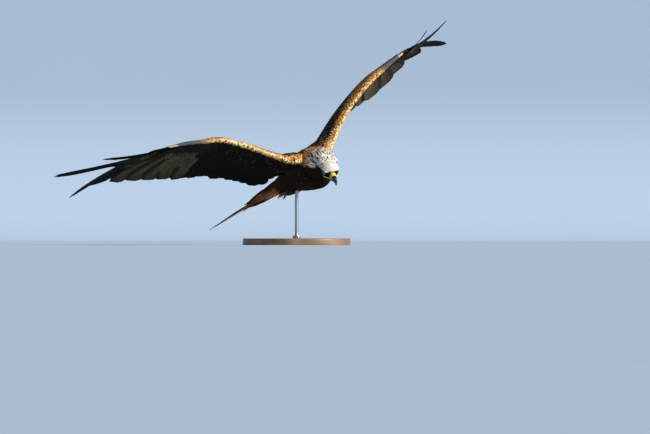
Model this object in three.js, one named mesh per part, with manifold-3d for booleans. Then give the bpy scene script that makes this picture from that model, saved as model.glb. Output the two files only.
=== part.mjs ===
// Red kite in banked flight, life size, on a plain display stand. Millimetres, +Z up.
// The bird is drawn in its own frame: origin between the shoulders, +X to its right, +Y to its bill,
// +Z to its back. One group then pitches, banks and turns it over the stand.

import * as THREE from 'three';
import { mergeVertices } from 'three/addons/utils/BufferGeometryUtils.js';
import Module from 'manifold-3d';

const wasm = await Module();
wasm.setup();

// Pose of the whole bird over the stand
const PITCH_UP = 19.5;
const BANK_RIGHT = 19.15;
const HEADING = -149.7;
const SHOULDER_HEIGHT = 246;
const SHOULDER_OFFSET = [22, -47];

// Clearances
const GAP = 0.3;

// Stand
const BASE_RADIUS = 150;
const BASE_HEIGHT = 18;
const BASE_CHAMFER = 3;
const BASE_FOOT_CHAMFER = 1;
const BASE_SIDES = 36;
const ROD_RADIUS = 5;
const ROD_COLLAR_RADIUS = 11;
const ROD_COLLAR_HEIGHT = 8;
const ROD_SUNK_IN_BASE = 12;
const ROD_TOP = 190;
const ROD_SIDES = 14;

// Torso: distance forward, height of the middle, half width, half depth
const TORSO = [
  [84, -56, 14, 12],
  [78, -53, 26, 24],
  [62, -49.5, 38, 40],
  [35, -45.5, 46, 58],
  [0, -39.5, 50, 60],
  [-40, -36, 47, 53],
  [-80, -34.5, 38, 42],
  [-120, -35.5, 32, 36.5],
  [-150, -33.5, 29, 31],
  [-172, -28, 27, 23],
];
const TORSO_SIDES = 22;

// Neck: place of the middle, half width, half height
const NECK = [
  [[0, 30, -34], 40, 42],
  [[0, 56, -39], 45, 43],
  [[3, 75, -48], 41, 39],
  [[8, 87, -59], 32, 32],
  [[11, 94, -67], 22, 22],
];
const NECK_SIDES = 16;

// Head: place between the eyes, and its forward and up directions in the bird's frame
const HEAD_AT = [14.5, 100.6, -79];
const HEAD_FORWARD = [0.292, 0.554, -0.776];
const HEAD_UP = [0.05, 0.81, 0.58];

// Skull with its short feathers: forward, height of the middle, half width, half height
const SKULL = [
  [-48, -4, 9, 9],
  [-44, -4, 17, 16],
  [-36, -2.5, 24, 22.5],
  [-22, -1, 28, 25.5],
  [-8, -0.5, 27.5, 24.5],
  [4, -2, 24, 21],
  [11, -3.5, 18.5, 16.5],
  [16, -4.5, 13, 12],
  [18.5, -5, 9, 9],
];
const SKULL_SIDES = 18;
const EYE_RADIUS = 7.4;
const EYE_AT = [18.2, 1.5, 1.5];
const EYE_OPENING = [12, 6.1, 5.2];
const LID_RADIUS = 8.8;
const BROW_AT = [19.6, 3.5, 7.6];
const BROW_SIZE = [5.4, 11.5, 3];
const CERE = [
  [11, -2.2, 9.5, 9.6],
  [15, -2.2, 9.8, 9.9],
  [21, -2.2, 8.6, 9],
  [26.5, -2.3, 7.5, 7.9],
];
const NOSTRIL_AT = [8.3, 21, -0.5];
const NOSTRIL_SIZE = [1.6, 2.6, 1.5];
const BILL_UPPER = [
  [24, -2.3, 7.4, 7.8],
  [32, -2.9, 6.3, 7.1],
  [37, -4.7, 5.1, 6.5],
  [41, -7.9, 3.9, 5.2],
  [43.8, -12, 2.6, 3.6],
  [44.9, -16.4, 1.2, 1.7],
];
const BILL_LOWER = [
  [5, -11, 8.6, 6],
  [16, -10.6, 8.4, 5.6],
  [28, -10.2, 6.4, 4.2],
  [36, -10, 4.2, 2.6],
  [39, -10, 2.6, 1.4],
];
const BILL_SIDES = 12;
const MOUTH_HEIGHT = -9.8;
const GAPE_FROM = 1;
const GAPE_TO = 17;
const GAPE_DEPTH_AT = 14;
const GAPE_HEIGHT = 0.8;
const EYE_OPENING_OUT = 5;
const BROW_TURN = [-14, 20];
// Room for the bill's blocks beyond every side
const ROOM = 60;
const BILL_UNDERCUT = [-10, 39.6];

// Wing sections, right wing: leading edge, rear edge of the fleshy part, crest height, thickness
const WING_SECTIONS = [
  { lead: [24, 40, -14], rear: [26, -76, -6], crest: 31, thick: 41 },
  { lead: [56, 50, -12], rear: [58, -78, 2], crest: 32, thick: 39 },
  { lead: [81, 41, 1], rear: [86, -76, 14], crest: 27, thick: 33 },
  { lead: [126, 41, 36], rear: [130, -74, 42], crest: 23, thick: 27 },
  { lead: [171, 49, 68], rear: [178, -70, 71], crest: 18, thick: 24 },
  { lead: [225, 62, 98], rear: [232, -50, 102], crest: 14, thick: 20 },
  { lead: [277, 76, 120], rear: [286, -22, 126], crest: 13, thick: 18 },
  { lead: [322, 67, 131], rear: [334, 0, 140], crest: 11, thick: 15 },
  { lead: [372, 58, 145], rear: [384, 16, 150], crest: 9, thick: 11 },
  { lead: [424, 44, 158], rear: [424, 26, 160], crest: 3, thick: 5 },
];
const SECTION_ALONG = [0, 0.05, 0.18, 0.42, 0.72, 1];
const SECTION_RISE = [0, 0.42, 0.8, 1, 0.62, 0.06];
const SECTION_THICKNESS = [0, 0.5, 0.85, 1, 0.7, 0.2];

// Trailing edge of the right wing, from the body to the outermost long primary
const TRAILING_EDGE = [
  [38, -137, 1],
  [62, -138, 3],
  [83, -157, -1],
  [139, -156, 29],
  [190, -153, 53],
  [235, -152, 69],
  [275, -150, 84],
  [311, -148, 95],
];
// Primary tips, innermost first
const PRIMARY_TIPS = [
  [332, -152, 99],
  [375, -152, 115],
  [424, -148, 129],
  [476, -143, 144],
  [532, -138, 158],
  [606, -130, 167],
  [691, -119, 155],
  [716, -106, 223],
  [713, -97, 224],
  [591, -34, 208],
];

// How much higher the left wing holds its primary tips, from the body outwards
const LEFT_LIFT = [-5, -12, -19, -18, -9, 0, 6, -4, -3, -2];

// Feathers: thickness at the root and at the tip
const VANE_ROOT_THICKNESS = 0.85;
const VANE_TIP_THICKNESS = 0.5;

// Vane outlines: share along the shaft, and share of the full width on the leading and trailing side
const OUTLINES = {
  rounded: [[0, 0.4, 0.35], [0.3, 0.95, 0.9], [0.8, 1, 1], [0.95, 0.75, 0.72], [1, 0.35, 0.32]],
  finger: [
    [0, 0.4, 0.25], [0.2, 1, 0.85], [0.42, 1, 1], [0.54, 0.85, 0.56], [0.9, 0.6, 0.4], [1, 0.1, 0.06],
  ],
  broadFinger: [
    [0, 0.4, 0.25], [0.2, 1, 0.85], [0.42, 1, 1], [0.62, 1, 1], [0.8, 0.95, 0.95],
    [0.92, 0.6, 0.55], [1, 0.1, 0.06],
  ],
  pointed: [[0, 0.4, 0.3], [0.35, 1, 0.95], [0.85, 0.85, 0.75], [0.96, 0.5, 0.36], [1, 0.12, 0.1]],
  covert: [[0, 0.7, 0.7], [0.8, 1, 1], [1, 0.3, 0.3]],
};

// Arm feathers, innermost first
const SECONDARIES = {
  count: 13, first: 1.36, last: 5.84, rootAt: 0.58, firstTip: 0, lastTip: 0.985,
  firstBow: 2, lastBow: 8, sweep: 3, lead: 15, trail: 26, roll: 4.6,
  shorter: [0, 0, 0, 0, 0, 0, 0, 5, 0, 13, 9, 0, 0],
};
const GREATER_COVERTS = { every: 1, from: 0, to: 0.5, lift: 3.1, lead: 13, trail: 15 };
const MEDIAN_COVERTS = { every: 2, from: -0.16, to: 0.28, lift: 5.8, lead: 18, trail: 21 };
const UNDER_COVERTS = { every: 2, from: 0.02, to: 0.42, lift: -3.6, lead: 20, trail: 22 };

// Hand feathers: root line, then bow, sweep and widths of each primary, innermost first
const PRIMARIES = { first: 6.07, last: 8.7, rootAt: 0.6, stack: -0.5 };
const PRIMARY_FORMS = [
  { outline: 'rounded', bow: 9, sweep: 4, lead: 17, trail: 30, roll: 4.6 },
  { outline: 'rounded', bow: 9, sweep: 6, lead: 20, trail: 42, roll: 4.6 },
  { outline: 'rounded', bow: 9, sweep: 8, lead: 20, trail: 50, roll: 4.6 },
  { outline: 'rounded', bow: 9, sweep: 10, lead: 20, trail: 54, roll: 4.6 },
  { outline: 'rounded', bow: 10, sweep: 12, lead: 18, trail: 56, roll: 4.6 },
  { outline: 'broadFinger', bow: 17, sweep: 14, lead: 18, trail: 47, roll: 5 },
  { outline: 'finger', bow: 21, sweep: 15, lead: 13, trail: 38, roll: 5 },
  { outline: 'finger', bow: -6, sweep: 14, lead: 12, trail: 34, roll: 6 },
  { outline: 'finger', bow: -7, sweep: 12, lead: 11, trail: 32, roll: 8 },
  { outline: 'finger', bow: -6, sweep: 8, lead: 9, trail: 26, roll: 8 },
];
const PRIMARY_COVERTS = { every: 1, from: 0, to: 0.36, lift: 2.9, lead: 9, trail: 12 };
const UNDER_PRIMARY_COVERTS = { every: 2, from: 0.02, to: 0.3, lift: -3, lead: 13, trail: 18 };
const ALULA = {
  first: 6.3, last: 8, step: 0.22, rootAt: 0.22, rootStep: 0.09, rootDepth: 0.3, reach: [88, 68, 50],
  bow: 1.5, sweep: 2, lead: 5, trail: 12, lift: 1, roll: 6,
};
const COVERT_BOW = 2.2;
// Share of a covert's lift already reached at its root
const COVERT_ROOT_LIFT = 0.75;

// Roundness of lids, eyes and nostrils
const ELLIPSOID_SIDES = 12;
const ELLIPSOID_ROWS = 7;

// The wing is parted into arm and hand by an upright cut through the wrist
const WRIST_CUT_AT = [268, 50, 0];
const WRIST_CUT_NORMAL = [0.969, 0.248, 0];

// Tail: place of the root, roll to the right, the fleshy rump, and the fan of feathers on each side
const TAIL_AT = [0, -172, -27];
const TAIL_ROLL = 6;
const RUMP = [
  [3, -1.5, 26, 22],
  [-24, 0, 28, 20.5],
  [-52, 1, 28.5, 18],
  [-84, 2.5, 28, 15],
  [-112, 3.5, 26, 11.5],
  [-140, 4.5, 23, 7],
  [-162, 5.5, 18, 2.5],
];
const RUMP_SIDES = 16;
const RECTRICES = {
  count: 6, rootIn: 2.2, rootOut: 17, rootBack: -30, tipIn: [8, -244, 8.5], tipOut: [67, -309, 9],
  fork: 1.7, middle: 2.5, stack: -0.8, sweep: 3, lead: 17, trail: 20, outerLead: 8, roll: 3,
};
const TAIL_COVERTS = {
  count: 3, rootIn: 5, rootOut: 15, rootBack: -60, tipIn: 6, tipOut: 26, fan: 18, bow: 1.5,
  lead: 12, trail: 12,
  rows: [
    { back: -176, height: 17, tipHeight: 11, stack: -0.4 },
    { back: -190, height: -11, tipHeight: 4, stack: 0.4 },
  ],
};

// Legs, right side: the feathered thigh, the bare shank and the toes trailing under the vent
const THIGH = [
  [[28, -34, -56], 13, 13],
  [[29, -60, -57.5], 15, 15],
  [[29, -85, -58], 13, 13],
  [[28, -104, -58.5], 9.5, 9.5],
  [[27.5, -118, -59], 5.5, 5.5],
];
const SHANK = [
  [[27.5, -114, -58], 3.6, 3.6],
  [[27, -124, -58.5], 3.8, 3.8],
  [[27, -129, -59], 4.2, 3.6],
];
const FOOT_AT = [27, -127, -58.5];
const TOE_SPREADS = [-6.8, 0, 6.8];
// Along a toe: share of the spread, back, up, radius
const TOE_PATH = [
  [0.1, 2, 0, 3.1],
  [0.6, -7, 0.3, 3.2],
  [1.05, -15, 0.6, 2.8],
  [1.1, -21, 0.4, 2.4],
];
const HIND_TOE_PATH = [
  [0, 1, -3, 3],
  [0.3, -7, -7, 3],
  [0.4, -13, -9, 2.4],
];
const HIND_TOE_SPREAD = -4;
const CLAW_STEPS = [[0.6, 0.1, 2], [-3.8, -0.2, 1.7], [-7.6, -1.8, 1.1], [-10, -5, 0.4]];
const LIMB_SIDES = 6;
const THIGH_SIDES = 14;

const vector = (list) => new THREE.Vector3(...list);
const mix = (from, to, share) => from.clone().lerp(to, share);

// Closed surface from rings of equally many points, each ring a list of vectors
function skinRings(rings) {
  const sides = rings[0].length;
  const positions = [];
  const faces = [];
  rings.forEach((ring) => ring.forEach((point) => positions.push(point.x, point.y, point.z)));
  for (let row = 0; row + 1 < rings.length; row += 1) {
    for (let side = 0; side < sides; side += 1) {
      const next = (side + 1) % sides;
      const here = row * sides;
      const there = here + sides;
      faces.push(here + side, here + next, there + next);
      faces.push(here + side, there + next, there + side);
    }
  }
  const last = (rings.length - 1) * sides;
  for (let side = 1; side + 1 < sides; side += 1) {
    faces.push(0, side + 1, side);
    faces.push(last, last + side, last + side + 1);
  }
  const geometry = new THREE.BufferGeometry();
  geometry.setAttribute('position', new THREE.Float32BufferAttribute(positions, 3));
  geometry.setIndex(faces);
  return geometry;
}

// Thin strip from rings of four corners, split into triangles alike on its two faces
function skinStrip(rings) {
  const geometry = skinRings(rings);
  const faces = Array.from(geometry.index.array);
  const perRow = 24;
  const underSide = 12;
  for (let row = 0; row + 1 < rings.length; row += 1) {
    const here = row * 4;
    const there = here + 4;
    const start = row * perRow + underSide;
    [here + 2, here + 3, there + 2, here + 3, there + 3, there + 2]
      .forEach((corner, index) => { faces[start + index] = corner; });
  }
  geometry.setIndex(faces);
  return geometry;
}

// Closed solid of a three.js geometry, turned outside out where its rings ran the other way
function solidOf(geometry) {
  const bare = geometry.clone();
  bare.deleteAttribute('normal');
  bare.deleteAttribute('uv');
  const merged = mergeVertices(bare, 1e-4);
  const points = merged.getAttribute('position').array;
  const triangles = Array.from(merged.index.array);
  const corner = [new THREE.Vector3(), new THREE.Vector3(), new THREE.Vector3()];
  let volume = 0;
  for (let start = 0; start < triangles.length; start += 3) {
    corner.forEach((point, index) => point.fromArray(points, 3 * triangles[start + index]));
    volume += corner[0].dot(corner[1].clone().cross(corner[2]));
  }
  if (volume < 0) triangles.reverse();
  const mesh = new wasm.Mesh({
    numProp: 3,
    vertProperties: Float32Array.from(points),
    triVerts: Uint32Array.from(triangles),
  });
  return new wasm.Manifold(mesh);
}

const fuse = (solids) => solids.reduce((whole, piece) => whole.add(piece));
const carve = (solid, tools) => tools.reduce((whole, tool) => whole.subtract(tool), solid);

// The largest closed surface of a solid
function largest(solid) {
  return solid.decompose().reduce((best, shell) => (shell.volume() > best.volume() ? shell : best));
}

function geometryOf(solid) {
  const mesh = largest(solid).getMesh();
  const geometry = new THREE.BufferGeometry();
  geometry.setAttribute('position', new THREE.BufferAttribute(mesh.vertProperties, 3));
  geometry.setIndex(Array.from(mesh.triVerts));
  geometry.computeVertexNormals();
  return geometry;
}

function mirrored(geometry) {
  const copy = geometry.clone();
  copy.scale(-1, 1, 1);
  const index = copy.index.array;
  for (let start = 0; start < index.length; start += 3) {
    const kept = index[start];
    index[start] = index[start + 1];
    index[start + 1] = kept;
  }
  copy.computeVertexNormals();
  return copy;
}

// Oval ring about a point, with half sizes along two directions
function oval(middle, across, along, halfAcross, halfAlong, sides) {
  const ring = [];
  for (let side = 0; side < sides; side += 1) {
    const turn = (2 * Math.PI * side) / sides;
    ring.push(middle.clone()
      .addScaledVector(across, halfAcross * Math.cos(turn))
      .addScaledVector(along, halfAlong * Math.sin(turn)));
  }
  return ring;
}

// Moves a point away from another by a distance
function pushApart(point, other, distance) {
  point.addScaledVector(point.clone().sub(other).normalize(), distance);
}

// Rounded body along a path of [middle, half width, half height] stations, grown on every side
function bodyAlong(stations, sides, grow = 0) {
  const middles = stations.map(([middle]) => vector(middle));
  pushApart(middles[0], middles[1], grow);
  pushApart(middles[middles.length - 1], middles[middles.length - 2], grow);
  const rings = stations.map(([, width, height], index) => {
    const before = middles[Math.max(index - 1, 0)];
    const after = middles[Math.min(index + 1, middles.length - 1)];
    const tangent = after.clone().sub(before).normalize();
    const across = new THREE.Vector3(1, 0, 0).addScaledVector(tangent, -tangent.x).normalize();
    const along = across.clone().cross(tangent).normalize();
    return oval(middles[index], across, along, width + grow, height + grow, sides);
  });
  return skinRings(rings);
}

// Stations in a side view: [forward, height, half width, half height]
const sideStations = (table) => table.map(([forward, height, width, depth]) => (
  [[0, forward, height], width, depth]
));

function ellipsoid(at, size, turn = [0, 0, 0]) {
  const geometry = new THREE.SphereGeometry(1, ELLIPSOID_SIDES, ELLIPSOID_ROWS);
  geometry.scale(...size);
  geometry.rotateX(THREE.MathUtils.degToRad(turn[0]));
  geometry.rotateY(THREE.MathUtils.degToRad(turn[1]));
  geometry.rotateZ(THREE.MathUtils.degToRad(turn[2]));
  geometry.translate(...at);
  return solidOf(geometry);
}

function block(from, to) {
  const low = vector(from);
  const size = vector(to).sub(low);
  const geometry = new THREE.BoxGeometry(size.x, size.y, size.z);
  geometry.translate(low.x + size.x / 2, low.y + size.y / 2, low.z + size.z / 2);
  return solidOf(geometry);
}

// Wing section as a closed ring: over the top from the leading edge, and back below
function wingRing({ lead, rear, crest, thick }) {
  const front = vector(lead);
  const back = vector(rear);
  const upper = [];
  const lower = [];
  SECTION_ALONG.forEach((share, index) => {
    const onChord = mix(front, back, share);
    const top = crest * SECTION_RISE[index];
    upper.push(onChord.clone().setZ(onChord.z + top));
    if (index > 0) lower.push(onChord.clone().setZ(onChord.z + top - thick * SECTION_THICKNESS[index]));
  });
  return [...upper, ...lower.reverse()];
}

// Point of the wing at a section number, a share of the way back, and a share of the depth below its top
function insideWing(number, share, depth) {
  const low = Math.min(Math.floor(number), WING_SECTIONS.length - 2);
  const blend = number - low;
  const between = (key) => (
    WING_SECTIONS[low][key] * (1 - blend) + WING_SECTIONS[low + 1][key] * blend);
  const along = (key) => mix(vector(WING_SECTIONS[low][key]), vector(WING_SECTIONS[low + 1][key]), blend);
  const place = mix(along('lead'), along('rear'), share);
  const step = SECTION_ALONG.findIndex((mark) => mark >= share);
  const part = (share - SECTION_ALONG[step - 1]) / (SECTION_ALONG[step] - SECTION_ALONG[step - 1]);
  const profile = (list) => list[step - 1] * (1 - part) + list[step] * part;
  const top = between('crest') * profile(SECTION_RISE);
  const thick = between('thick') * profile(SECTION_THICKNESS);
  return place.setZ(place.z + top - thick * depth);
}

// Upward direction of the feather sheet at a section number
function wingNormal(number) {
  const spanStep = 0.5;
  const span = insideWing(number + spanStep, 0.6, 0.5).sub(insideWing(number - spanStep, 0.6, 0.5));
  const chord = insideWing(number, 1, 0).sub(insideWing(number, 0.05, 0));
  return chord.cross(span).normalize();
}

// Shaft from root to tip, bowed towards the normal and swept towards the leading side
function shaftOf({ root, tip, normal, bow, sweep }) {
  const side = normal.clone().cross(tip.clone().sub(root)).normalize();
  const bend = mix(root, tip, 0.5).addScaledVector(normal, 2 * bow).addScaledVector(side, 2 * sweep);
  return new THREE.QuadraticBezierCurve3(root, bend, tip);
}

// Vane: a thin closed strip along its shaft, rolled so that its leading side rises
function vane({ shaft, normal, outline, lead, trail, roll }) {
  const rise = THREE.MathUtils.degToRad(roll);
  const rings = OUTLINES[outline].map(([share, leadShare, trailShare]) => {
    const place = shaft.getPoint(share);
    const tangent = shaft.getTangent(share);
    const side = normal.clone().cross(tangent).normalize();
    const up = tangent.clone().cross(side);
    const across = side.clone().multiplyScalar(Math.cos(rise)).addScaledVector(up, Math.sin(rise));
    const out = up.clone().multiplyScalar(Math.cos(rise)).addScaledVector(side, -Math.sin(rise));
    const half = THREE.MathUtils.lerp(VANE_ROOT_THICKNESS, VANE_TIP_THICKNESS, share) / 2;
    const front = place.clone().addScaledVector(across, lead * leadShare);
    const back = place.clone().addScaledVector(across, -trail * trailShare);
    return [
      front.clone().addScaledVector(out, half),
      back.clone().addScaledVector(out, half),
      back.clone().addScaledVector(out, -half),
      front.clone().addScaledVector(out, -half),
    ];
  });
  return solidOf(skinStrip(rings));
}

// Covert lying along a flight feather's shaft, above or below it
function covertOn(feather, { from, to, lift, lead, trail }) {
  const ahead = feather.shaft.getPoint(Math.abs(from));
  const backwards = feather.shaft.getPoint(0).multiplyScalar(2).sub(ahead);
  const start = from < 0 ? backwards : feather.shaft.getPoint(from);
  const root = start.addScaledVector(feather.normal, lift * COVERT_ROOT_LIFT);
  const tip = feather.shaft.getPoint(to).addScaledVector(feather.normal, lift);
  const shaft = shaftOf({ root, tip, normal: feather.normal, bow: COVERT_BOW, sweep: 0 });
  return vane({ shaft, normal: feather.normal, outline: 'covert', lead, trail, roll: feather.roll });
}

function armFeathers() {
  const { count, first, last, rootAt, firstTip, lastTip, sweep, lead, trail, roll } = SECONDARIES;
  const { firstBow, lastBow, shorter } = SECONDARIES;
  const edge = new THREE.CatmullRomCurve3(TRAILING_EDGE.map(vector));
  return Array.from({ length: count }, (_, index) => {
    const share = index / (count - 1);
    const number = THREE.MathUtils.lerp(first, last, share);
    const root = insideWing(number, rootAt, 0.5);
    const tip = edge.getPointAt(THREE.MathUtils.lerp(firstTip, lastTip, share));
    pushApart(tip, root, -shorter[index]);
    const normal = wingNormal(number);
    const bow = THREE.MathUtils.lerp(firstBow, lastBow, share);
    const shaft = shaftOf({ root, tip, normal, bow, sweep });
    return { shaft, normal, outline: 'rounded', lead, trail, roll };
  });
}

function handFeathers(lift) {
  const { first, last, rootAt, stack } = PRIMARIES;
  return PRIMARY_FORMS.map((form, index) => {
    const number = THREE.MathUtils.lerp(first, last, index / (PRIMARY_FORMS.length - 1));
    const normal = wingNormal(number);
    const root = insideWing(number, rootAt, 0.5).addScaledVector(normal, stack * index);
    const tip = vector(PRIMARY_TIPS[index]);
    tip.z += lift[index];
    const shaft = shaftOf({ ...form, root, tip, normal });
    return { ...form, shaft, normal };
  });
}

// Small feathers of the thumb, lying over the leading edge of the hand
function alulaFeathers() {
  const { first, last, step, rootAt, rootStep, rootDepth, reach, lift } = ALULA;
  const outward = insideWing(last, rootAt, 0).sub(insideWing(first, rootAt, 0)).normalize();
  return reach.map((length, index) => {
    const number = first + step * index;
    const normal = wingNormal(number);
    const root = insideWing(number, rootAt + rootStep * index, rootDepth);
    const tip = root.clone().addScaledVector(outward, length).addScaledVector(normal, lift);
    const shaft = shaftOf({ ...ALULA, root, tip, normal });
    return vane({ ...ALULA, shaft, normal, outline: 'covert' });
  });
}

// Half of the space on one side of the wrist cut, with half of the gap
function wristSide(solid, sign) {
  const normal = vector(WRIST_CUT_NORMAL).normalize();
  const offset = normal.dot(vector(WRIST_CUT_AT));
  return solid.trimByPlane(normal.clone().multiplyScalar(sign).toArray(), sign * offset + GAP / 2);
}

function wingSolids(lift) {
  const core = solidOf(skinRings(WING_SECTIONS.map(wingRing)));
  const arm = armFeathers();
  const hand = handFeathers(lift);
  const rows = (feathers, kinds) => feathers.flatMap((feather, index) => [
    vane(feather),
    ...kinds.filter(({ every }) => index % every === 0).map((kind) => covertOn(feather, kind)),
  ]);
  const armPieces = [core, ...rows(arm, [GREATER_COVERTS, MEDIAN_COVERTS, UNDER_COVERTS])];
  const handPieces = [core, ...rows(hand, [PRIMARY_COVERTS, UNDER_PRIMARY_COVERTS]), ...alulaFeathers()];
  return {
    arm: wristSide(fuse(armPieces), -1),
    hand: wristSide(fuse(handPieces), 1),
  };
}

const material = (color, roughness, metalness = 0) => (
  new THREE.MeshStandardMaterial({ color, roughness, metalness, side: THREE.DoubleSide })
);
const finishes = {
  wood: material(0xb8a488, 0.55),
  steel: material(0x9a9a9a, 0.35, 1),
  body: material(0x4a2e1c, 0.9),
  neck: material(0xb58a55, 0.9),
  head: material(0xd9d3c8, 0.9),
  wing: material(0x3b281a, 0.85),
  tail: material(0xa5602c, 0.85),
  horn: material(0x1c1b1b, 0.35),
  cere: material(0xe8c21e, 0.45),
  eye: material(0xd9c25a, 0.1),
  foot: material(0xe0b420, 0.5),
};

function piece(name, geometry, finish) {
  const mesh = new THREE.Mesh(geometry, finish);
  mesh.name = name;
  return mesh;
}

const bird = new THREE.Group();
bird.rotation.set(
  THREE.MathUtils.degToRad(PITCH_UP),
  THREE.MathUtils.degToRad(BANK_RIGHT),
  THREE.MathUtils.degToRad(HEADING),
  'ZXY',
);
bird.position.set(...SHOULDER_OFFSET, SHOULDER_HEIGHT);
bird.updateMatrixWorld();
const toBird = bird.matrixWorld.clone().invert();

const torso = (grow) => solidOf(bodyAlong(sideStations(TORSO), TORSO_SIDES, grow));
const neckBody = (grow) => solidOf(bodyAlong(NECK, NECK_SIDES, grow));

// Head pieces are drawn in the head's frame and placed by this matrix
const headForward = vector(HEAD_FORWARD).normalize();
const headUp = vector(HEAD_UP).addScaledVector(headForward, -vector(HEAD_UP).dot(headForward)).normalize();
const headRight = headForward.clone().cross(headUp);
const headMatrix = new THREE.Matrix4().makeBasis(headRight, headForward, headUp).setPosition(...HEAD_AT);
const placedOnHead = (solid) => solidOf(geometryOf(solid).applyMatrix4(headMatrix));

const skull = (grow) => solidOf(bodyAlong(sideStations(SKULL), SKULL_SIDES, grow));
const cereBody = (grow) => solidOf(bodyAlong(sideStations(CERE), BILL_SIDES, grow));
const lowerBill = (grow) => solidOf(bodyAlong(sideStations(BILL_LOWER), BILL_SIDES, grow));
const aboveMouth = block([-ROOM, BILL_UNDERCUT[0], -ROOM], [ROOM, BILL_UNDERCUT[1], MOUTH_HEIGHT]);
const belowMouth = block([-ROOM, -ROOM, MOUTH_HEIGHT - GAP], [ROOM, ROOM, ROOM]);

function headSolid() {
  const sides = [1, -1];
  const lids = sides.map((side) => ellipsoid([side * EYE_AT[0], EYE_AT[1], EYE_AT[2]],
    [LID_RADIUS, LID_RADIUS, LID_RADIUS]));
  const brows = sides.map((side) => ellipsoid([side * BROW_AT[0], BROW_AT[1], BROW_AT[2]], BROW_SIZE,
    [BROW_TURN[0], side * BROW_TURN[1], 0]));
  const sockets = sides.map((side) => ellipsoid([side * EYE_AT[0], EYE_AT[1], EYE_AT[2]],
    [EYE_RADIUS + GAP, EYE_RADIUS + GAP, EYE_RADIUS + GAP]));
  const openings = sides.map((side) => ellipsoid([side * (EYE_AT[0] + EYE_OPENING_OUT), EYE_AT[1], EYE_AT[2]],
    EYE_OPENING));
  const gapes = sides.map((side) => block(
    [Math.min(side * GAPE_DEPTH_AT, side * ROOM), GAPE_FROM, MOUTH_HEIGHT - GAPE_HEIGHT],
    [Math.max(side * GAPE_DEPTH_AT, side * ROOM), GAPE_TO, MOUTH_HEIGHT],
  ));
  const whole = fuse([skull(0), ...lids, ...brows]);
  return carve(whole, [...sockets, ...openings, ...gapes, cereBody(GAP), lowerBill(GAP)]);
}

function cereSolid() {
  const nostrils = [1, -1].map((side) => ellipsoid(
    [side * NOSTRIL_AT[0], NOSTRIL_AT[1], NOSTRIL_AT[2]], NOSTRIL_SIZE,
  ));
  return carve(cereBody(0), [aboveMouth, ...nostrils]);
}

const upperBillSolid = () => (
  carve(solidOf(bodyAlong(sideStations(BILL_UPPER), BILL_SIDES)), [aboveMouth, cereBody(GAP)])
);
const lowerBillSolid = () => carve(lowerBill(0), [belowMouth]);
const eyeSolid = (side) => ellipsoid([side * EYE_AT[0], EYE_AT[1], EYE_AT[2]],
  [EYE_RADIUS, EYE_RADIUS, EYE_RADIUS]);

// Tail feathers and coverts of one side, in the tail's own frame; a vane leads to its right
function tailSide(side) {
  const up = new THREE.Vector3(0, 0, 1);
  const mirrorSide = (list) => new THREE.Vector3(side * list[0], list[1], list[2]);
  const pieces = [];
  for (let index = 0; index < RECTRICES.count; index += 1) {
    const share = index / (RECTRICES.count - 1);
    const across = THREE.MathUtils.lerp(RECTRICES.rootIn, RECTRICES.rootOut, share);
    const tip = mix(vector(RECTRICES.tipIn), vector(RECTRICES.tipOut), share);
    tip.y = THREE.MathUtils.lerp(RECTRICES.tipIn[1], RECTRICES.tipOut[1], share ** RECTRICES.fork);
    const level = RECTRICES.stack * (index - RECTRICES.middle);
    const outermost = index === RECTRICES.count - 1;
    const lateral = outermost ? RECTRICES.outerLead : RECTRICES.lead;
    const shaft = shaftOf({
      root: mirrorSide([across, RECTRICES.rootBack, level]),
      tip: mirrorSide([tip.x, tip.y, tip.z + level]),
      normal: up, bow: 0, sweep: side * RECTRICES.sweep,
    });
    pieces.push(vane({
      shaft, normal: up, roll: side * RECTRICES.roll,
      outline: index > RECTRICES.middle ? 'pointed' : 'rounded',
      lead: side > 0 ? lateral : RECTRICES.trail, trail: side > 0 ? RECTRICES.trail : lateral,
    }));
  }
  TAIL_COVERTS.rows.forEach(({ back, height, tipHeight, stack }) => {
    for (let index = 0; index < TAIL_COVERTS.count; index += 1) {
      const share = index / (TAIL_COVERTS.count - 1);
      const across = THREE.MathUtils.lerp(TAIL_COVERTS.rootIn, TAIL_COVERTS.rootOut, share);
      const tipAcross = THREE.MathUtils.lerp(TAIL_COVERTS.tipIn, TAIL_COVERTS.tipOut, share);
      const shaft = shaftOf({
        root: mirrorSide([across, TAIL_COVERTS.rootBack, height + stack * index]),
        tip: mirrorSide([tipAcross, back + TAIL_COVERTS.fan * share, tipHeight + stack * index]),
        normal: up, bow: Math.sign(height) * TAIL_COVERTS.bow, sweep: 0,
      });
      pieces.push(vane({
        shaft, normal: up, outline: 'covert', lead: TAIL_COVERTS.lead, trail: TAIL_COVERTS.trail,
        roll: 0,
      }));
    }
  });
  return pieces;
}

function tailSolid() {
  const rump = solidOf(bodyAlong(sideStations(RUMP), RUMP_SIDES));
  const tail = geometryOf(fuse([rump, ...tailSide(1), ...tailSide(-1)]));
  tail.rotateY(THREE.MathUtils.degToRad(TAIL_ROLL));
  tail.translate(...TAIL_AT);
  return solidOf(tail);
}

// Toe or claw: a tube along [across, forward, up, radius] steps from a place
const tubeFrom = (place, steps, grow) => solidOf(bodyAlong(
  steps.map(([across, forward, up, radius]) => (
    [[place[0] + across, place[1] + forward, place[2] + up], radius, radius])),
  LIMB_SIDES,
  grow,
));

const toeSteps = TOE_SPREADS.map((spread) => (
  TOE_PATH.map(([share, back, up, radius]) => [share * spread, back, up, radius])));
toeSteps.push(HIND_TOE_PATH.map(([share, back, up, radius]) => (
  [share * HIND_TOE_SPREAD, back, up, radius])));

const footSolid = (grow) => fuse([
  solidOf(bodyAlong(SHANK, LIMB_SIDES, grow)),
  ...toeSteps.map((steps) => tubeFrom(FOOT_AT, steps, grow)),
]);

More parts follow.
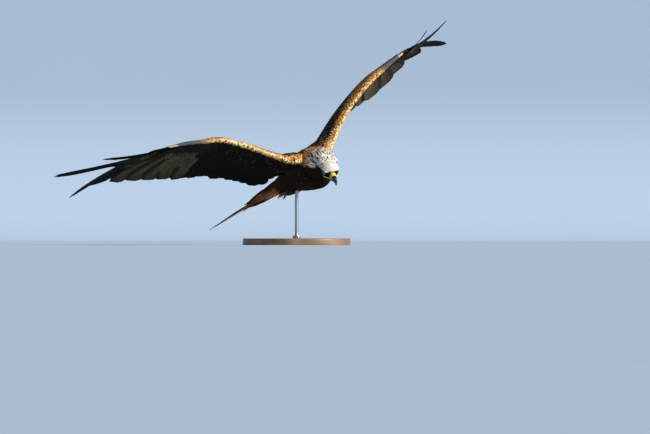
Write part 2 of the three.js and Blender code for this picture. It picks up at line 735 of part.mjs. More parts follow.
// Claw at a toe's end, curling down and back
function clawSolid(steps) {
  const [across, forward, up] = steps[steps.length - 1];
  const root = [FOOT_AT[0] + across, FOOT_AT[1] + forward, FOOT_AT[2] + up];
  const claw = tubeFrom(root, CLAW_STEPS.map(([back, down, radius]) => [0, back, down, radius]), 0);
  return carve(claw, [footSolid(GAP), torsoGrown]);
}

const rodFoot = BASE_HEIGHT - ROD_SUNK_IN_BASE;

function rodProfile(grow) {
  return new THREE.LatheGeometry([
    new THREE.Vector2(0, rodFoot - grow),
    new THREE.Vector2(ROD_RADIUS + grow, rodFoot - grow),
    new THREE.Vector2(ROD_RADIUS + grow, BASE_HEIGHT + GAP - grow),
    new THREE.Vector2(ROD_COLLAR_RADIUS + grow, BASE_HEIGHT + GAP - grow),
    new THREE.Vector2(ROD_COLLAR_RADIUS + grow, BASE_HEIGHT + ROD_COLLAR_HEIGHT + grow),
    new THREE.Vector2(ROD_RADIUS + grow, BASE_HEIGHT + ROD_COLLAR_HEIGHT + grow),
    new THREE.Vector2(ROD_RADIUS + grow, ROD_TOP + grow),
    new THREE.Vector2(0, ROD_TOP + grow),
  ], ROD_SIDES).rotateX(Math.PI / 2);
}

function baseProfile() {
  return new THREE.LatheGeometry([
    new THREE.Vector2(0, 0),
    new THREE.Vector2(BASE_RADIUS - BASE_FOOT_CHAMFER, 0),
    new THREE.Vector2(BASE_RADIUS, BASE_FOOT_CHAMFER),
    new THREE.Vector2(BASE_RADIUS, BASE_HEIGHT - BASE_CHAMFER),
    new THREE.Vector2(BASE_RADIUS - BASE_CHAMFER, BASE_HEIGHT),
    new THREE.Vector2(0, BASE_HEIGHT),
  ], BASE_SIDES).rotateX(Math.PI / 2);
}

const rod = solidOf(rodProfile(0));
const rodHole = solidOf(rodProfile(GAP));
const base = carve(solidOf(baseProfile()), [rodHole]);
const rodHoleInBird = solidOf(rodProfile(GAP).applyMatrix4(toBird));

const model = new THREE.Group();
model.add(piece('stand_base', geometryOf(base), finishes.wood));
model.add(piece('stand_rod', geometryOf(rod), finishes.steel));

const torsoGrown = torso(GAP);
const skullPlaced = placedOnHead(skull(GAP));
const torsoNode = carve(torso(0), [rodHoleInBird]);
bird.add(piece('torso', geometryOf(torsoNode), finishes.body));
bird.add(piece('neck', geometryOf(carve(neckBody(0), [torsoGrown, skullPlaced])), finishes.neck));

const head = new THREE.Group();
head.matrixAutoUpdate = false;
head.matrix.copy(headMatrix);
const torsoInHead = solidOf(geometryOf(torsoGrown).applyMatrix4(headMatrix.clone().invert()));
head.add(piece('head', geometryOf(carve(headSolid(), [torsoInHead])), finishes.head));
head.add(piece('cere', geometryOf(cereSolid()), finishes.cere));
head.add(piece('bill_upper', geometryOf(upperBillSolid()), finishes.horn));
head.add(piece('bill_lower', geometryOf(lowerBillSolid()), finishes.horn));
head.add(piece('eye_right', geometryOf(eyeSolid(1)), finishes.eye));
head.add(piece('eye_left', geometryOf(eyeSolid(-1)), finishes.eye));
bird.add(head);

const level = LEFT_LIFT.map(() => 0);
const wingRight = wingSolids(level);
const wingLeft = wingSolids(LEFT_LIFT);
const armGeometry = (wing) => geometryOf(carve(wing.arm, [torsoGrown, neckBody(GAP)]));
bird.add(piece('wing_right_arm', armGeometry(wingRight), finishes.wing));
bird.add(piece('wing_right_hand', geometryOf(wingRight.hand), finishes.wing));
bird.add(piece('wing_left_arm', mirrored(armGeometry(wingLeft)), finishes.wing));
bird.add(piece('wing_left_hand', mirrored(geometryOf(wingLeft.hand)), finishes.wing));
bird.add(piece('tail', geometryOf(carve(tailSolid(), [torsoGrown])), finishes.tail));

const thighTools = [torsoGrown, footSolid(GAP)];
const thighGeometry = (tools) => geometryOf(carve(solidOf(bodyAlong(THIGH, THIGH_SIDES)), tools));
const footGeometry = geometryOf(carve(footSolid(0), [torsoGrown]));
bird.add(piece('thigh_right', thighGeometry([...thighTools, rodHoleInBird]), finishes.body));
bird.add(piece('thigh_left', mirrored(thighGeometry(thighTools)), finishes.body));
bird.add(piece('foot_right', footGeometry, finishes.foot));
bird.add(piece('foot_left', mirrored(footGeometry), finishes.foot));
toeSteps.forEach((steps, index) => {
  const clawGeometry = geometryOf(clawSolid(steps));
  bird.add(piece(`claw_right_${index + 1}`, clawGeometry, finishes.horn));
  bird.add(piece(`claw_left_${index + 1}`, mirrored(clawGeometry), finishes.horn));
});
model.add(bird);

export default model;
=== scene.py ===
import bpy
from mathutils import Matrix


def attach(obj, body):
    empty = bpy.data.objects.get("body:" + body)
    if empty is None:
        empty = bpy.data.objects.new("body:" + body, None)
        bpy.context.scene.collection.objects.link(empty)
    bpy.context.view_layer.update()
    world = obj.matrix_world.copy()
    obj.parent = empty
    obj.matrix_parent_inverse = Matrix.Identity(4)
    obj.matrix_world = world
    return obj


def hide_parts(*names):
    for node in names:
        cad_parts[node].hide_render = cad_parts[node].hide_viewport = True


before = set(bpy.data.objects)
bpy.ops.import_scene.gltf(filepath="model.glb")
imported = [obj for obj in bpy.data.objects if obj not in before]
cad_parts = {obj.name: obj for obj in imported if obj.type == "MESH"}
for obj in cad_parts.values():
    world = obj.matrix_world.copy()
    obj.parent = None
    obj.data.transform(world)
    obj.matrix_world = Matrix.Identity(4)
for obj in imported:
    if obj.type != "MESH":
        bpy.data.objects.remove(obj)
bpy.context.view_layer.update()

import math
from itertools import product

import bpy
import numpy as np
from mathutils import Matrix, Vector
from mathutils.bvhtree import BVHTree

# Lengths are millimetres in the bird's own frame until makePiece: x to its right, y to its bill,
# z to its back
birdPose = {"pitchUp": 19.5, "bankRight": 19.15, "heading": -149.7, "shoulder": (22, -47, 246)}
headPose = {"at": (14.5, 100.6, -79), "forward": (0.292, 0.554, -0.776), "up": (0.05, 0.81, 0.58)}


def turnMatrix():
    turn = Matrix.Rotation(math.radians(birdPose["heading"]), 3, "Z")
    turn = turn @ Matrix.Rotation(math.radians(birdPose["pitchUp"]), 3, "X")
    return np.array(turn @ Matrix.Rotation(math.radians(birdPose["bankRight"]), 3, "Y"))


def unit(vectors):
    vectors = np.asarray(vectors, float)
    return vectors / np.maximum(np.linalg.norm(vectors, axis=-1, keepdims=True), 1e-9)


def headAxes():
    forward = unit(headPose["forward"])
    up = np.array(headPose["up"])
    up = unit(up - forward * (up @ forward))
    return np.stack([np.cross(forward, up), forward, up])


birdTurn = turnMatrix()
birdPlace = np.array(birdPose["shoulder"]) / 1000
headTurn = headAxes()
headPlace = np.array(headPose["at"])


def toRow(points):
    return np.asarray(points, float) @ birdTurn.T / 1000 + birdPlace


def fromHead(points):
    return np.asarray(points, float) @ headTurn + headPlace


def toHead(points):
    return (np.asarray(points, float) - headPlace) @ headTurn.T


def ease(value, low, high):
    share = np.clip((np.asarray(value, float) - low) / (high - low), 0, 1)
    return share * share * (3 - 2 * share)


# Smooth curve through values ys at xs, read at any x
def hermite(x, xs, ys):
    x = np.clip(np.asarray(x, float), xs[0], xs[-1])
    xs = np.asarray(xs, float)
    ys = np.asarray(ys, float)
    slopes = np.gradient(ys, xs, axis=0)
    low = np.clip(np.searchsorted(xs, x, side="right") - 1, 0, len(xs) - 2)
    step = xs[low + 1] - xs[low]
    part = (x - xs[low]) / step
    if ys.ndim > 1:
        part, step = part[..., None], step[..., None]
    square, cube = part * part, part * part * part
    return ((2 * cube - 3 * square + 1) * ys[low] + (cube - 2 * square + part) * step * slopes[low]
            + (3 * square - 2 * cube) * ys[low + 1] + (cube - square) * step * slopes[low + 1])


# Distance run along a path up to each of its points
def lengthsAlong(path):
    return np.concatenate([[0], np.cumsum(np.linalg.norm(np.diff(path, axis=0), axis=1))])


# A shader socket that Python's operators work on
class Wire:
    def __init__(self, paint, socket):
        self.paint = paint
        self.socket = socket

    def reckon(self, operation, first, second=0.0):
        return self.paint.node("ShaderNodeMath", {"operation": operation}, {0: first, 1: second})

    def __add__(self, other):
        return self.reckon("ADD", self, other)

    def __sub__(self, other):
        return self.reckon("SUBTRACT", self, other)

    def __rsub__(self, other):
        return self.reckon("SUBTRACT", other, self)

    def __mul__(self, other):
        return self.reckon("MULTIPLY", self, other)

    def __truediv__(self, other):
        return self.reckon("DIVIDE", self, other)

    def __abs__(self):
        return self.reckon("ABSOLUTE", self)

    def sine(self):
        return self.reckon("SINE", self)

    def above(self, low, high):
        return self.paint.node("ShaderNodeMapRange", {"interpolation_type": "SMOOTHSTEP"},
                               {"Value": self, "From Min": low, "From Max": high})

    __radd__ = __add__
    __rmul__ = __mul__


# A material in the making
class Paint:
    def __init__(self, name):
        self.material = bpy.data.materials.new(name)
        self.material.use_nodes = True
        self.tree = self.material.node_tree
        self.tree.nodes.clear()

    def node(self, kind, settings, sockets, output=0):
        made = self.tree.nodes.new(kind)
        for key, value in settings.items():
            setattr(made, key, value)
        for key, value in sockets.items():
            if isinstance(value, Wire):
                self.tree.links.new(value.socket, made.inputs[key])
            else:
                made.inputs[key].default_value = value
        return Wire(self, made.outputs[output])

    def parts(self, vector, count=3):
        return [self.node("ShaderNodeSeparateXYZ", {}, {0: vector}, index) for index in range(count)]

    # The first few numbers of a mark on the mesh
    def values(self, name, count=3):
        return self.parts(self.node("ShaderNodeAttribute", {"attribute_name": name}, {}, "Vector"), count)

    def mixed(self, mask, first, second):
        asColor = [value if isinstance(value, Wire) else (*value, 1) for value in (first, second)]
        return self.node("ShaderNodeMix", {"data_type": "RGBA"}, {0: mask, 6: asColor[0], 7: asColor[1]}, 2)

    def place(self):
        return self.node("ShaderNodeTexCoord", {}, {}, "Object")

    def noise(self, scale, detail=3.0, vector=None):
        sockets = {"Scale": scale, "Detail": detail, "Vector": vector or self.place()}
        return self.node("ShaderNodeTexNoise", {}, sockets, "Fac")

    def stretched(self, scales, detail):
        sockets = {0: self.place(), 1: scales}
        return self.noise(1.0, detail, self.node("ShaderNodeVectorMath", {"operation": "MULTIPLY"}, sockets))

    def bump(self, height, strength, distance):
        return self.node("ShaderNodeBump", {}, {"Height": height, "Strength": strength, "Distance": distance})

    def finish(self, sockets):
        shader = self.node("ShaderNodeBsdfPrincipled", {}, sockets)
        output = self.tree.nodes.new("ShaderNodeOutputMaterial")
        self.tree.links.new(shader.socket, output.inputs[0])
        return self.material


def addToScene(made):
    bpy.context.scene.collection.objects.link(made)
    return made


def addMarks(mesh, name, values):
    mesh.attributes.new(name, "FLOAT_VECTOR", "POINT").data.foreach_set("vector", np.ravel(values))


def smoothen(mesh):
    mesh.polygons.foreach_set("use_smooth", np.ones(len(mesh.polygons), bool))


def makePiece(name, points, faces, materials, nodes=(), marks=None, bake=None, paints=None,
              inRow=False):
    placed = np.asarray(points) if inRow else toRow(points)
    mesh = bpy.data.meshes.new(name)
    mesh.from_pydata(placed.tolist(), [], [list(face) for face in faces])
    for key, values in (marks or {}).items():
        addMarks(mesh, key, values)
    if bake is not None:
        corners = np.zeros(len(mesh.loops), int)
        mesh.loops.foreach_get("vertex_index", corners)
        mesh.uv_layers.new(name="OFBake").data.foreach_set("uv", np.ravel(np.asarray(bake)[corners]))
    for material in materials:
        mesh.materials.append(material)
    if paints is not None:
        mesh.polygons.foreach_set("material_index", np.asarray(paints, np.int32))
    smoothen(mesh)
    mesh.update()
    piece = addToScene(bpy.data.objects.new(name, mesh))
    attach(piece, "root")
    if nodes:
        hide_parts(*nodes)
    return piece


# Quads between rings of equally many points, with fans at both ends
def ringFaces(rows, sides, capped=True):
    row, side = np.meshgrid(np.arange(rows - 1), np.arange(sides), indexing="ij")
    here, after = row * sides, (side + 1) % sides
    quads = np.stack([here + side, here + after, here + sides + after, here + sides + side], -1)
    faces = quads.reshape(-1, 4).tolist()
    if capped:
        faces.append(list(range(sides))[::-1])
        faces.append([(rows - 1) * sides + index for index in range(sides)])
    return faces


# Surface along a path of (middle, half width, half height) stations
def loftAlong(stations, rows, sides, grow=0.0):
    middles = np.array([station[0] for station in stations], float)
    sizes = np.array([station[1:] for station in stations], float) + grow
    steps = lengthsAlong(middles)
    along = np.linspace(0, steps[-1], rows)
    places = hermite(along, steps, middles)
    halves = np.maximum(hermite(along, steps, sizes), 0.2)
    tangents = unit(np.gradient(places, along, axis=0))
    across = unit(np.array([1.0, 0, 0]) - tangents * tangents[:, :1])
    upward = np.cross(across, tangents)
    turn = np.linspace(0, 2 * np.pi, sides, endpoint=False)
    ring = (across[:, None] * (halves[:, :1] * np.cos(turn))[..., None]
            + upward[:, None] * (halves[:, 1:] * np.sin(turn))[..., None])
    return (places[:, None] + ring).reshape(-1, 3)


def sideStations(table):
    return [((0, forward, height), width, depth) for forward, height, width, depth in table]


# Several closed tubes as one mesh
def joined(tubes):
    points, faces, start = [], [], 0
    for tube, rows, sides in tubes:
        points.append(tube)
        faces += [[start + index for index in face] for face in ringFaces(rows, sides)]
        start += len(tube)
    return np.concatenate(points), faces


# Camera: the photograph's view, far away and level
cameraView = {"at": (0.079, -52.0, 0.0776), "focal": 1035.8, "sensor": 36, "clipEnd": 200}


def makeCamera():
    camera = addToScene(bpy.data.objects.new("photoCamera", bpy.data.cameras.new("photoCamera")))
    camera.data.sensor_width = cameraView["sensor"]
    camera.data.lens = cameraView["focal"]
    camera.data.clip_end = cameraView["clipEnd"]
    camera.location = cameraView["at"]
    camera.rotation_euler = (math.radians(90), 0, 0)
    bpy.context.scene.camera = camera


makeCamera()

# Torso, neck and head: the same sizes as the solids
flesh = {
    "torso": [
        (84, -56, 14, 12), (78, -53, 26, 24), (62, -49.5, 38, 40), (35, -45.5, 46, 58), (0, -39.5, 50, 60),
        (-40, -36, 47, 53), (-80, -34.5, 38, 42), (-120, -35.5, 32, 36.5), (-150, -33.5, 29, 31),
        (-172, -28, 27, 23),
    ],
    "neck": [
        ((0, 30, -34), 40, 42), ((0, 56, -39), 45, 43), ((3, 75, -48), 41, 39), ((8, 87, -59), 32, 32),
        ((11, 94, -67), 22, 22),
    ],
    "skull": [
        (-48, -4, 9, 9), (-44, -4, 17, 16), (-36, -2.5, 24, 22.5), (-22, -1, 28, 25.5),
        (-8, -0.5, 27.5, 24.5), (4, -2, 24, 21), (11, -3.5, 18.5, 16.5), (16, -4.5, 13, 12), (18.5, -5, 9, 9),
    ],
    "rump": [
        (3, -1.5, 26, 22), (-24, 0, 28, 20.5), (-52, 1, 28.5, 18), (-84, 2.5, 28, 15), (-112, 3.5, 26, 11.5),
        (-140, 4.5, 23, 7), (-162, 5.5, 18, 2.5),
    ],
    "thigh": [
        ((28, -34, -56), 13, 13), ((29, -60, -57.5), 15, 15), ((29, -85, -58), 13, 13),
        ((28, -104, -58.5), 9.5, 9.5), ((27.5, -118, -59), 5.5, 5.5),
    ],
    "tailAt": (0, -172, -27), "tailRoll": 6,
}

# Wing sections: leading edge, rear edge of the fleshy part, crest height and thickness
wingForm = {
    "lead": [
        (24, 40, -14), (56, 50, -12), (81, 41, 1), (126, 41, 36), (171, 49, 68), (225, 62, 98),
        (277, 76, 120), (322, 67, 131), (372, 58, 145), (424, 44, 158),
    ],
    "rear": [
        (26, -76, -6), (58, -78, 2), (86, -76, 14), (130, -74, 42), (178, -70, 71), (232, -50, 102),
        (286, -22, 126), (334, 0, 140), (384, 16, 150), (424, 26, 160),
    ],
    "crest": [31, 32, 27, 23, 18, 14, 13, 11, 9, 3],
    "thick": [41, 39, 33, 27, 24, 20, 18, 15, 11, 5],
    "along": [0, 0.05, 0.18, 0.42, 0.72, 1],
    "rise": [0, 0.42, 0.8, 1, 0.62, 0.06],
    "thickness": [0, 0.5, 0.85, 1, 0.7, 0.2],
    "trailingEdge": [
        (38, -137, 1), (62, -138, 3), (83, -157, -1), (139, -156, 29), (190, -153, 53), (235, -152, 69),
        (275, -150, 84), (311, -148, 95),
    ],
    "primaryTips": [
        (332, -152, 99), (375, -152, 115), (424, -148, 129), (476, -143, 144), (532, -138, 158),
        (606, -130, 167), (691, -119, 155), (716, -106, 223), (713, -97, 224), (591, -34, 208),
    ],
    # How much higher the left wing holds its primary tips
    "leftLift": [-5, -12, -19, -18, -9, 0, 6, -4, -3, -2],
    # How much more, in degrees, it turns them about their shafts
    "leftRoll": [0, 0, 0, 0, 0, 0, 0, 4, 9, 0],
}
sectionNumbers = np.arange(len(wingForm["crest"]))


# Point of the right wing at a section number, a share of the way back and a share of the depth below its top
def wingPoint(number, share, depth, thin=0.0):
    number, share, depth = np.broadcast_arrays(np.asarray(number, float), share, depth)
    lead = hermite(number, sectionNumbers, wingForm["lead"])
    rear = hermite(number, sectionNumbers, wingForm["rear"])
    crest = hermite(number, sectionNumbers, wingForm["crest"]) - thin
    thick = hermite(number, sectionNumbers, wingForm["thick"]) - 2 * thin
    inset = thin * ease(1 - share, 0.8, 1)
    place = lead + (rear - lead) * share[..., None]
    place[..., 1] = place[..., 1] - inset
    rise = hermite(share, wingForm["along"], wingForm["rise"])
    width = hermite(share, wingForm["along"], wingForm["thickness"])
    place[..., 2] += crest * rise - np.maximum(thick, 0.6) * width * depth
    return place


def wingNormal(number):
    span = wingPoint(number + 0.5, 0.6, 0.5) - wingPoint(number - 0.5, 0.6, 0.5)
    chord = wingPoint(number, 1.0, 0.0) - wingPoint(number, 0.05, 0.0)
    return unit(np.cross(chord, span))


def tailPlace(points):
    turn = math.radians(flesh["tailRoll"])
    x, y, z = np.moveaxis(np.asarray(points, float), -1, 0)
    cosine, sine = math.cos(turn), math.sin(turn)
    return np.stack([x * cosine + z * sine, y, z * cosine - x * sine], -1) + np.array(flesh["tailAt"])


def mirrorX(points):
    return np.asarray(points, float) * np.array([-1, 1, 1])


# One skin under the whole coat: the forms above, thinner by the coat's depth, joined and smoothed
skinForm = {
    "coatDepth": 1.8, "skullDepth": 0.7, "wingDepth": 1.2, "wingRows": 70, "wingColumns": 16,
    "voxel": 0.0022, "relax": 0.5, "relaxSteps": 8, "browAt": (19.6, 3.5, 7.6),
    "brow": [((0, -11, 0), 0.5, 0.5), ((0, -7, 0), 3.6, 2.2), ((0, 0, 0), 5, 2.8), ((0, 7, 0), 3.6, 2.2),
             ((0, 11, 0), 0.5, 0.5)],
}


def wingSkin():
    columns = skinForm["wingColumns"]
    number = np.linspace(0, sectionNumbers[-1], skinForm["wingRows"])[:, None]
    back = np.linspace(0, 1, columns) ** 1.5
    share = np.concatenate([back[::-1], back[1:-1]])[None]
    below = np.concatenate([np.zeros(columns), np.ones(columns - 2)])[None]
    return wingPoint(number, share, below, skinForm["wingDepth"]).reshape(-1, 3)


def skinTubes():
    tubes = []

    def add(stations, rows, sides, thinner, place=np.asarray):
        tubes.append((place(loftAlong(stations, rows, sides, -thinner)), rows, sides))

    depth = skinForm["coatDepth"]
    add(sideStations(flesh["torso"]), 60, 40, depth)
    add(flesh["neck"], 30, 40, depth)
    add(sideStations(flesh["skull"]), 40, 36, skinForm["skullDepth"], fromHead)
    add(sideStations(flesh["rump"]), 40, 30, depth, tailPlace)
    for side in (1, -1):
        flip = mirrorX if side < 0 else np.asarray
        add(flesh["thigh"], 20, 24, depth, flip)
        tubes.append((flip(wingSkin()), skinForm["wingRows"], 2 * skinForm["wingColumns"] - 2))
        browAt = np.array(skinForm["browAt"]) * [side, 1, 1]
        add(skinForm["brow"], 12, 12, 0, lambda points: fromHead(points + browAt))
    return tubes


def makeSkin(material):
    points, faces = joined(skinTubes())
    skin = makePiece("skin", points, faces, [material],
                     ("torso", "neck", "head", "thigh_right", "thigh_left"))
    bpy.context.view_layer.objects.active = skin
    remesh = skin.modifiers.new("join", "REMESH")
    remesh.mode = "VOXEL"
    remesh.voxel_size = skinForm["voxel"]
    relax = skin.modifiers.new("relax", "SMOOTH")
    relax.factor, relax.iterations = skinForm["relax"], skinForm["relaxSteps"]
    graph = bpy.context.evaluated_depsgraph_get()
    remeshed = bpy.data.meshes.new_from_object(skin.evaluated_get(graph))
    skin.modifiers.clear()
    skin.data = remeshed
    smoothen(remeshed)
    return skin


def birdPoints(mesh):
    corners = np.zeros(len(mesh.vertices) * 3)
    mesh.vertices.foreach_get("co", corners)
    return (corners.reshape(-1, 3) - birdPlace) @ birdTurn * 1000


# Ways laid flat on the surface
def alongSurface(ways, normals):
    return unit(ways - normals * np.sum(ways * normals, axis=1, keepdims=True))


# Feathers are gathered here and become one piece
class Sheaf:
    def __init__(self):
        self.parts = {key: [] for key in ("points", "faces", "place", "mark", "kind", "bake", "paints")}
        self.count = 0

    def add(self, points, faces, place, mark, kind, bake, paint=0):
        marks = [np.broadcast_to(values, (len(points), 3)) for values in (place, mark, kind)]
        added = [points, np.asarray(faces) + self.count, *marks, bake, np.full(len(faces), paint)]
        for gathered, values in zip(self.parts.values(), added):
            gathered.append(values)
        self.count += len(points)

    def build(self, name, materials, nodes=(), mirrored=False):
        parts = {key: np.concatenate(values) for key, values in self.parts.items()}
        points, faces = parts["points"], parts["faces"]
        if mirrored:
            points, faces = mirrorX(points), faces[:, ::-1]
        marks = {key: parts[key] for key in ("place", "mark", "kind")}
        piece = makePiece(name, points, faces, materials, nodes, marks, parts["bake"], parts["paints"])
        print(name, len(faces) * 2, "triangles")
        return piece


# Small feathers, with their share of the full width from root to tip
leafForm = {"round": [0.3, 0.8, 1, 0.95, 0.66, 0.12], "lance": [0.35, 0.8, 0.92, 0.7, 0.4, 0.04],
            "camber": 0.25, "ragged": 0.12, "mapSize": 0.0015}


# All at once: bent leaves from roots over middles to tips, facing along the normals
def addLeaves(sheaf, leaves, outline, rng, columns=3):
    roots, middles, tips = leaves["roots"], leaves["middles"], leaves["tips"]
    count, rows = len(roots), len(leafForm[outline])
    share = np.linspace(0, 1, rows)[None, :, None]
    bends = 2 * middles - 0.5 * (roots + tips)
    shaft = (roots[:, None] * (1 - share) ** 2 + bends[:, None] * 2 * share * (1 - share)
             + tips[:, None] * share ** 2)
    tangents = unit(np.gradient(shaft, axis=1))
    across = unit(np.cross(tangents, leaves["normals"][:, None]))
    upward = np.cross(across, tangents)
    width = np.array(leafForm[outline])[None, :, None] * leaves["halves"][:, None, None]
    side = np.linspace(-1, 1, columns)[None, None, :, None]
    wobble = 1 + leafForm["ragged"] * rng.standard_normal((count, rows, columns, 1)) * (np.abs(side) > 0.5)
    reach = side * width[..., None] * wobble
    points = (shaft[:, :, None] + across[:, :, None] * reach
              - upward[:, :, None] * leafForm["camber"] * width[..., None] * side ** 2)
    row, column = np.meshgrid(np.arange(rows - 1), np.arange(columns - 1), indexing="ij")
    here = row * columns + column
    quads = np.stack([here, here + 1, here + columns + 1, here + columns], -1).reshape(-1, 4)
    size = rows * columns
    faces = (quads[None] + (np.arange(count) * size)[:, None, None]).reshape(-1, 4)
    tone = rng.uniform(-1, 1, count)[:, None, None]
    place = np.stack(np.broadcast_arrays(share, side[..., 0], tone), -1)
    spot = np.stack(np.broadcast_arrays(side[..., 0] * 0.9, share * 1.8 - 0.9), -1)
    bake = leaves["bake"][:, None, None, :] + leafForm["mapSize"] * spot
    mark, kind = (np.repeat(leaves[key], size, axis=0) for key in ("mark", "kind"))
    sheaf.add(points.reshape(-1, 3), faces, place.reshape(-1, 3), mark, kind, bake.reshape(-1, 2))


# Flight feather: a thin vane with an upper and a lower face and a raised shaft on both
vaneForm = {"rows": 30, "covertRows": 16, "thick": 0.5, "edgeThick": 0.16, "shaftWide": 1.5, "shaftTip": 0.35,
            "shaftMark": 0.08, "ridge": 0.8, "camber": 0.06, "crowding": 0.06,
            # Across the vane; None stands for the two sides of the shaft
            "columns": [-1, -0.94, -0.66, -0.34, None, 0, None, 0.34, 0.66, 0.94, 1]}
# Along the vane, then the share of the leading and of the trailing width
vaneOutlines = {
    "rounded": [(0, 0.4, 0.35), (0.12, 0.72, 0.66), (0.3, 0.95, 0.9), (0.6, 1, 0.98), (0.82, 0.97, 1),
                (0.92, 0.82, 0.84), (0.97, 0.56, 0.58), (1, 0.08, 0.08)],
    "finger": [(0, 0.4, 0.25), (0.1, 0.75, 0.6), (0.2, 1, 0.85), (0.42, 1, 1), (0.48, 0.95, 0.82),
               (0.54, 0.85, 0.56), (0.7, 0.72, 0.48), (0.9, 0.56, 0.38), (0.97, 0.3, 0.2), (1, 0.05, 0.04)],
    "broadFinger": [(0, 0.4, 0.25), (0.1, 0.75, 0.6), (0.2, 1, 0.85), (0.42, 1, 1), (0.62, 1, 1),
                    (0.8, 0.94, 0.95), (0.92, 0.62, 0.56), (0.97, 0.34, 0.28), (1, 0.05, 0.04)],
    "pointed": [(0, 0.4, 0.3), (0.18, 0.8, 0.76), (0.35, 1, 0.95), (0.6, 0.96, 0.9), (0.85, 0.82, 0.72),
                (0.96, 0.45, 0.34), (1, 0.06, 0.05)],
    "covert": [(0, 0.6, 0.6), (0.3, 0.9, 0.9), (0.7, 1, 1), (0.88, 0.85, 0.85), (0.96, 0.55, 0.55),
               (1, 0.1, 0.1)],
}


def bezier(shaft, share):
    share = np.asarray(share, float)[..., None]
    return shaft[0] * (1 - share) ** 2 + shaft[1] * 2 * share * (1 - share) + shaft[2] * share ** 2


def bezierTangent(shaft, share):
    share = np.asarray(share, float)[..., None]
    return unit((shaft[1] - shaft[0]) * (1 - share) + (shaft[2] - shaft[1]) * share)


def shaftOf(root, tip, normal, bow, sweep):
    side = unit(np.cross(normal, np.asarray(tip) - root))
    bend = (np.asarray(root) + tip) / 2 + np.asarray(normal) * 2 * bow + side * 2 * sweep
    return np.array([root, bend, tip], float)


def addVane(sheaf, feather, rng, cell, paint):
    form, shaft = vaneForm, feather["shaft"]
    rows = form["covertRows" if feather["outline"] == "covert" else "rows"]
    share = np.linspace(0, 1, rows)
    share = share + form["crowding"] * np.sin(share * np.pi * 2) / (2 * np.pi)
    table = np.array(vaneOutlines[feather["outline"]])
    lead = hermite(share, table[:, 0], table[:, 1]) * feather["lead"]
    trail = hermite(share, table[:, 0], table[:, 2]) * feather["trail"]
    for edge in (lead, trail):
        # A few notches, as in worn feathers
        for notch in range(rng.integers(1, 4)):
            edge[rng.integers(rows // 3, rows - 2)] *= rng.uniform(0.86, 0.96)
    place = bezier(shaft, share)
    tangent = bezierTangent(shaft, share)
    side = unit(np.cross(feather["normal"], tangent))
    upward = np.cross(tangent, side)
    roll = math.radians(feather["roll"])
    across = side * math.cos(roll) + upward * math.sin(roll)
    out = upward * math.cos(roll) - side * math.sin(roll)
    wide = np.minimum(form["shaftWide"] + (form["shaftTip"] - form["shaftWide"]) * share ** 0.7,
                      np.minimum(lead, trail) * 0.3)
    middle = len(form["columns"]) // 2
    spots, shares = [], []
    for index, spot in enumerate(form["columns"]):
        sign = -1 if index < middle else 1
        if spot is None:
            spots.append(sign * wide)
            spot = sign * form["shaftMark"]
        else:
            spots.append(spot * (trail if spot < 0 else lead))
        shares.append(np.full(rows, float(spot)))
    spots, shares = np.stack(spots, 1), np.stack(shares, 1)
    drop = form["camber"] * spots ** 2 / np.maximum(lead, trail)[:, None]
    half = (form["edgeThick"] + (form["thick"] - form["edgeThick"]) * (1 - np.abs(shares))) / 2
    half[:, middle] += wide * form["ridge"]
    base = place[:, None] + across[:, None] * spots[..., None] - out[:, None] * drop[..., None]
    top = base + out[:, None] * half[..., None]
    low = (base - out[:, None] * half[..., None])[:, -2:0:-1]
    ring = np.concatenate([top, low], 1)
    sides = ring.shape[1]
    cap = [[column, column + 1, sides - column - 1, sides - column] for column in range(1, 2 * middle - 1)]
    faces = ringFaces(rows, sides, False) + [quad[::-1] for quad in cap]
    faces += [[(rows - 1) * sides + index for index in quad] for quad in cap]
    length = lengthsAlong(place)[-1]
    shares = np.concatenate([shares, shares[:, -2:0:-1]], 1)
    under = np.broadcast_to(np.arange(sides) > 2 * middle, shares.shape).astype(float)
    along = np.broadcast_to(share[:, None], shares.shape)
    attribute = np.stack([along, shares, along * length / 100], -1)
    kind = np.stack([under, np.full_like(under, rng.uniform(-1, 1)),
                     np.full_like(under, feather.get("group", 0.0))], -1)
    corner, wideCell, tallCell = cell
    bake = np.stack([corner[0] + wideCell * (0.25 + 0.22 * shares + 0.5 * under),
                     corner[1] + tallCell * (0.04 + 0.92 * along)], -1)
    sheaf.add(ring.reshape(-1, 3), faces, attribute.reshape(-1, 3), np.zeros(3), kind.reshape(-1, 3),
              bake.reshape(-1, 2), paint)


# Places for the feathers on the bake map: corner, width and height
def cells(count, columns):
    edge = 0.01
    wide, tall = (1 - 2 * edge) / columns, (1 - 2 * edge) / math.ceil(count / columns)
    return [((edge + (index % columns) * wide, edge + (index // columns) * tall), wide, tall)
            for index in range(count)]


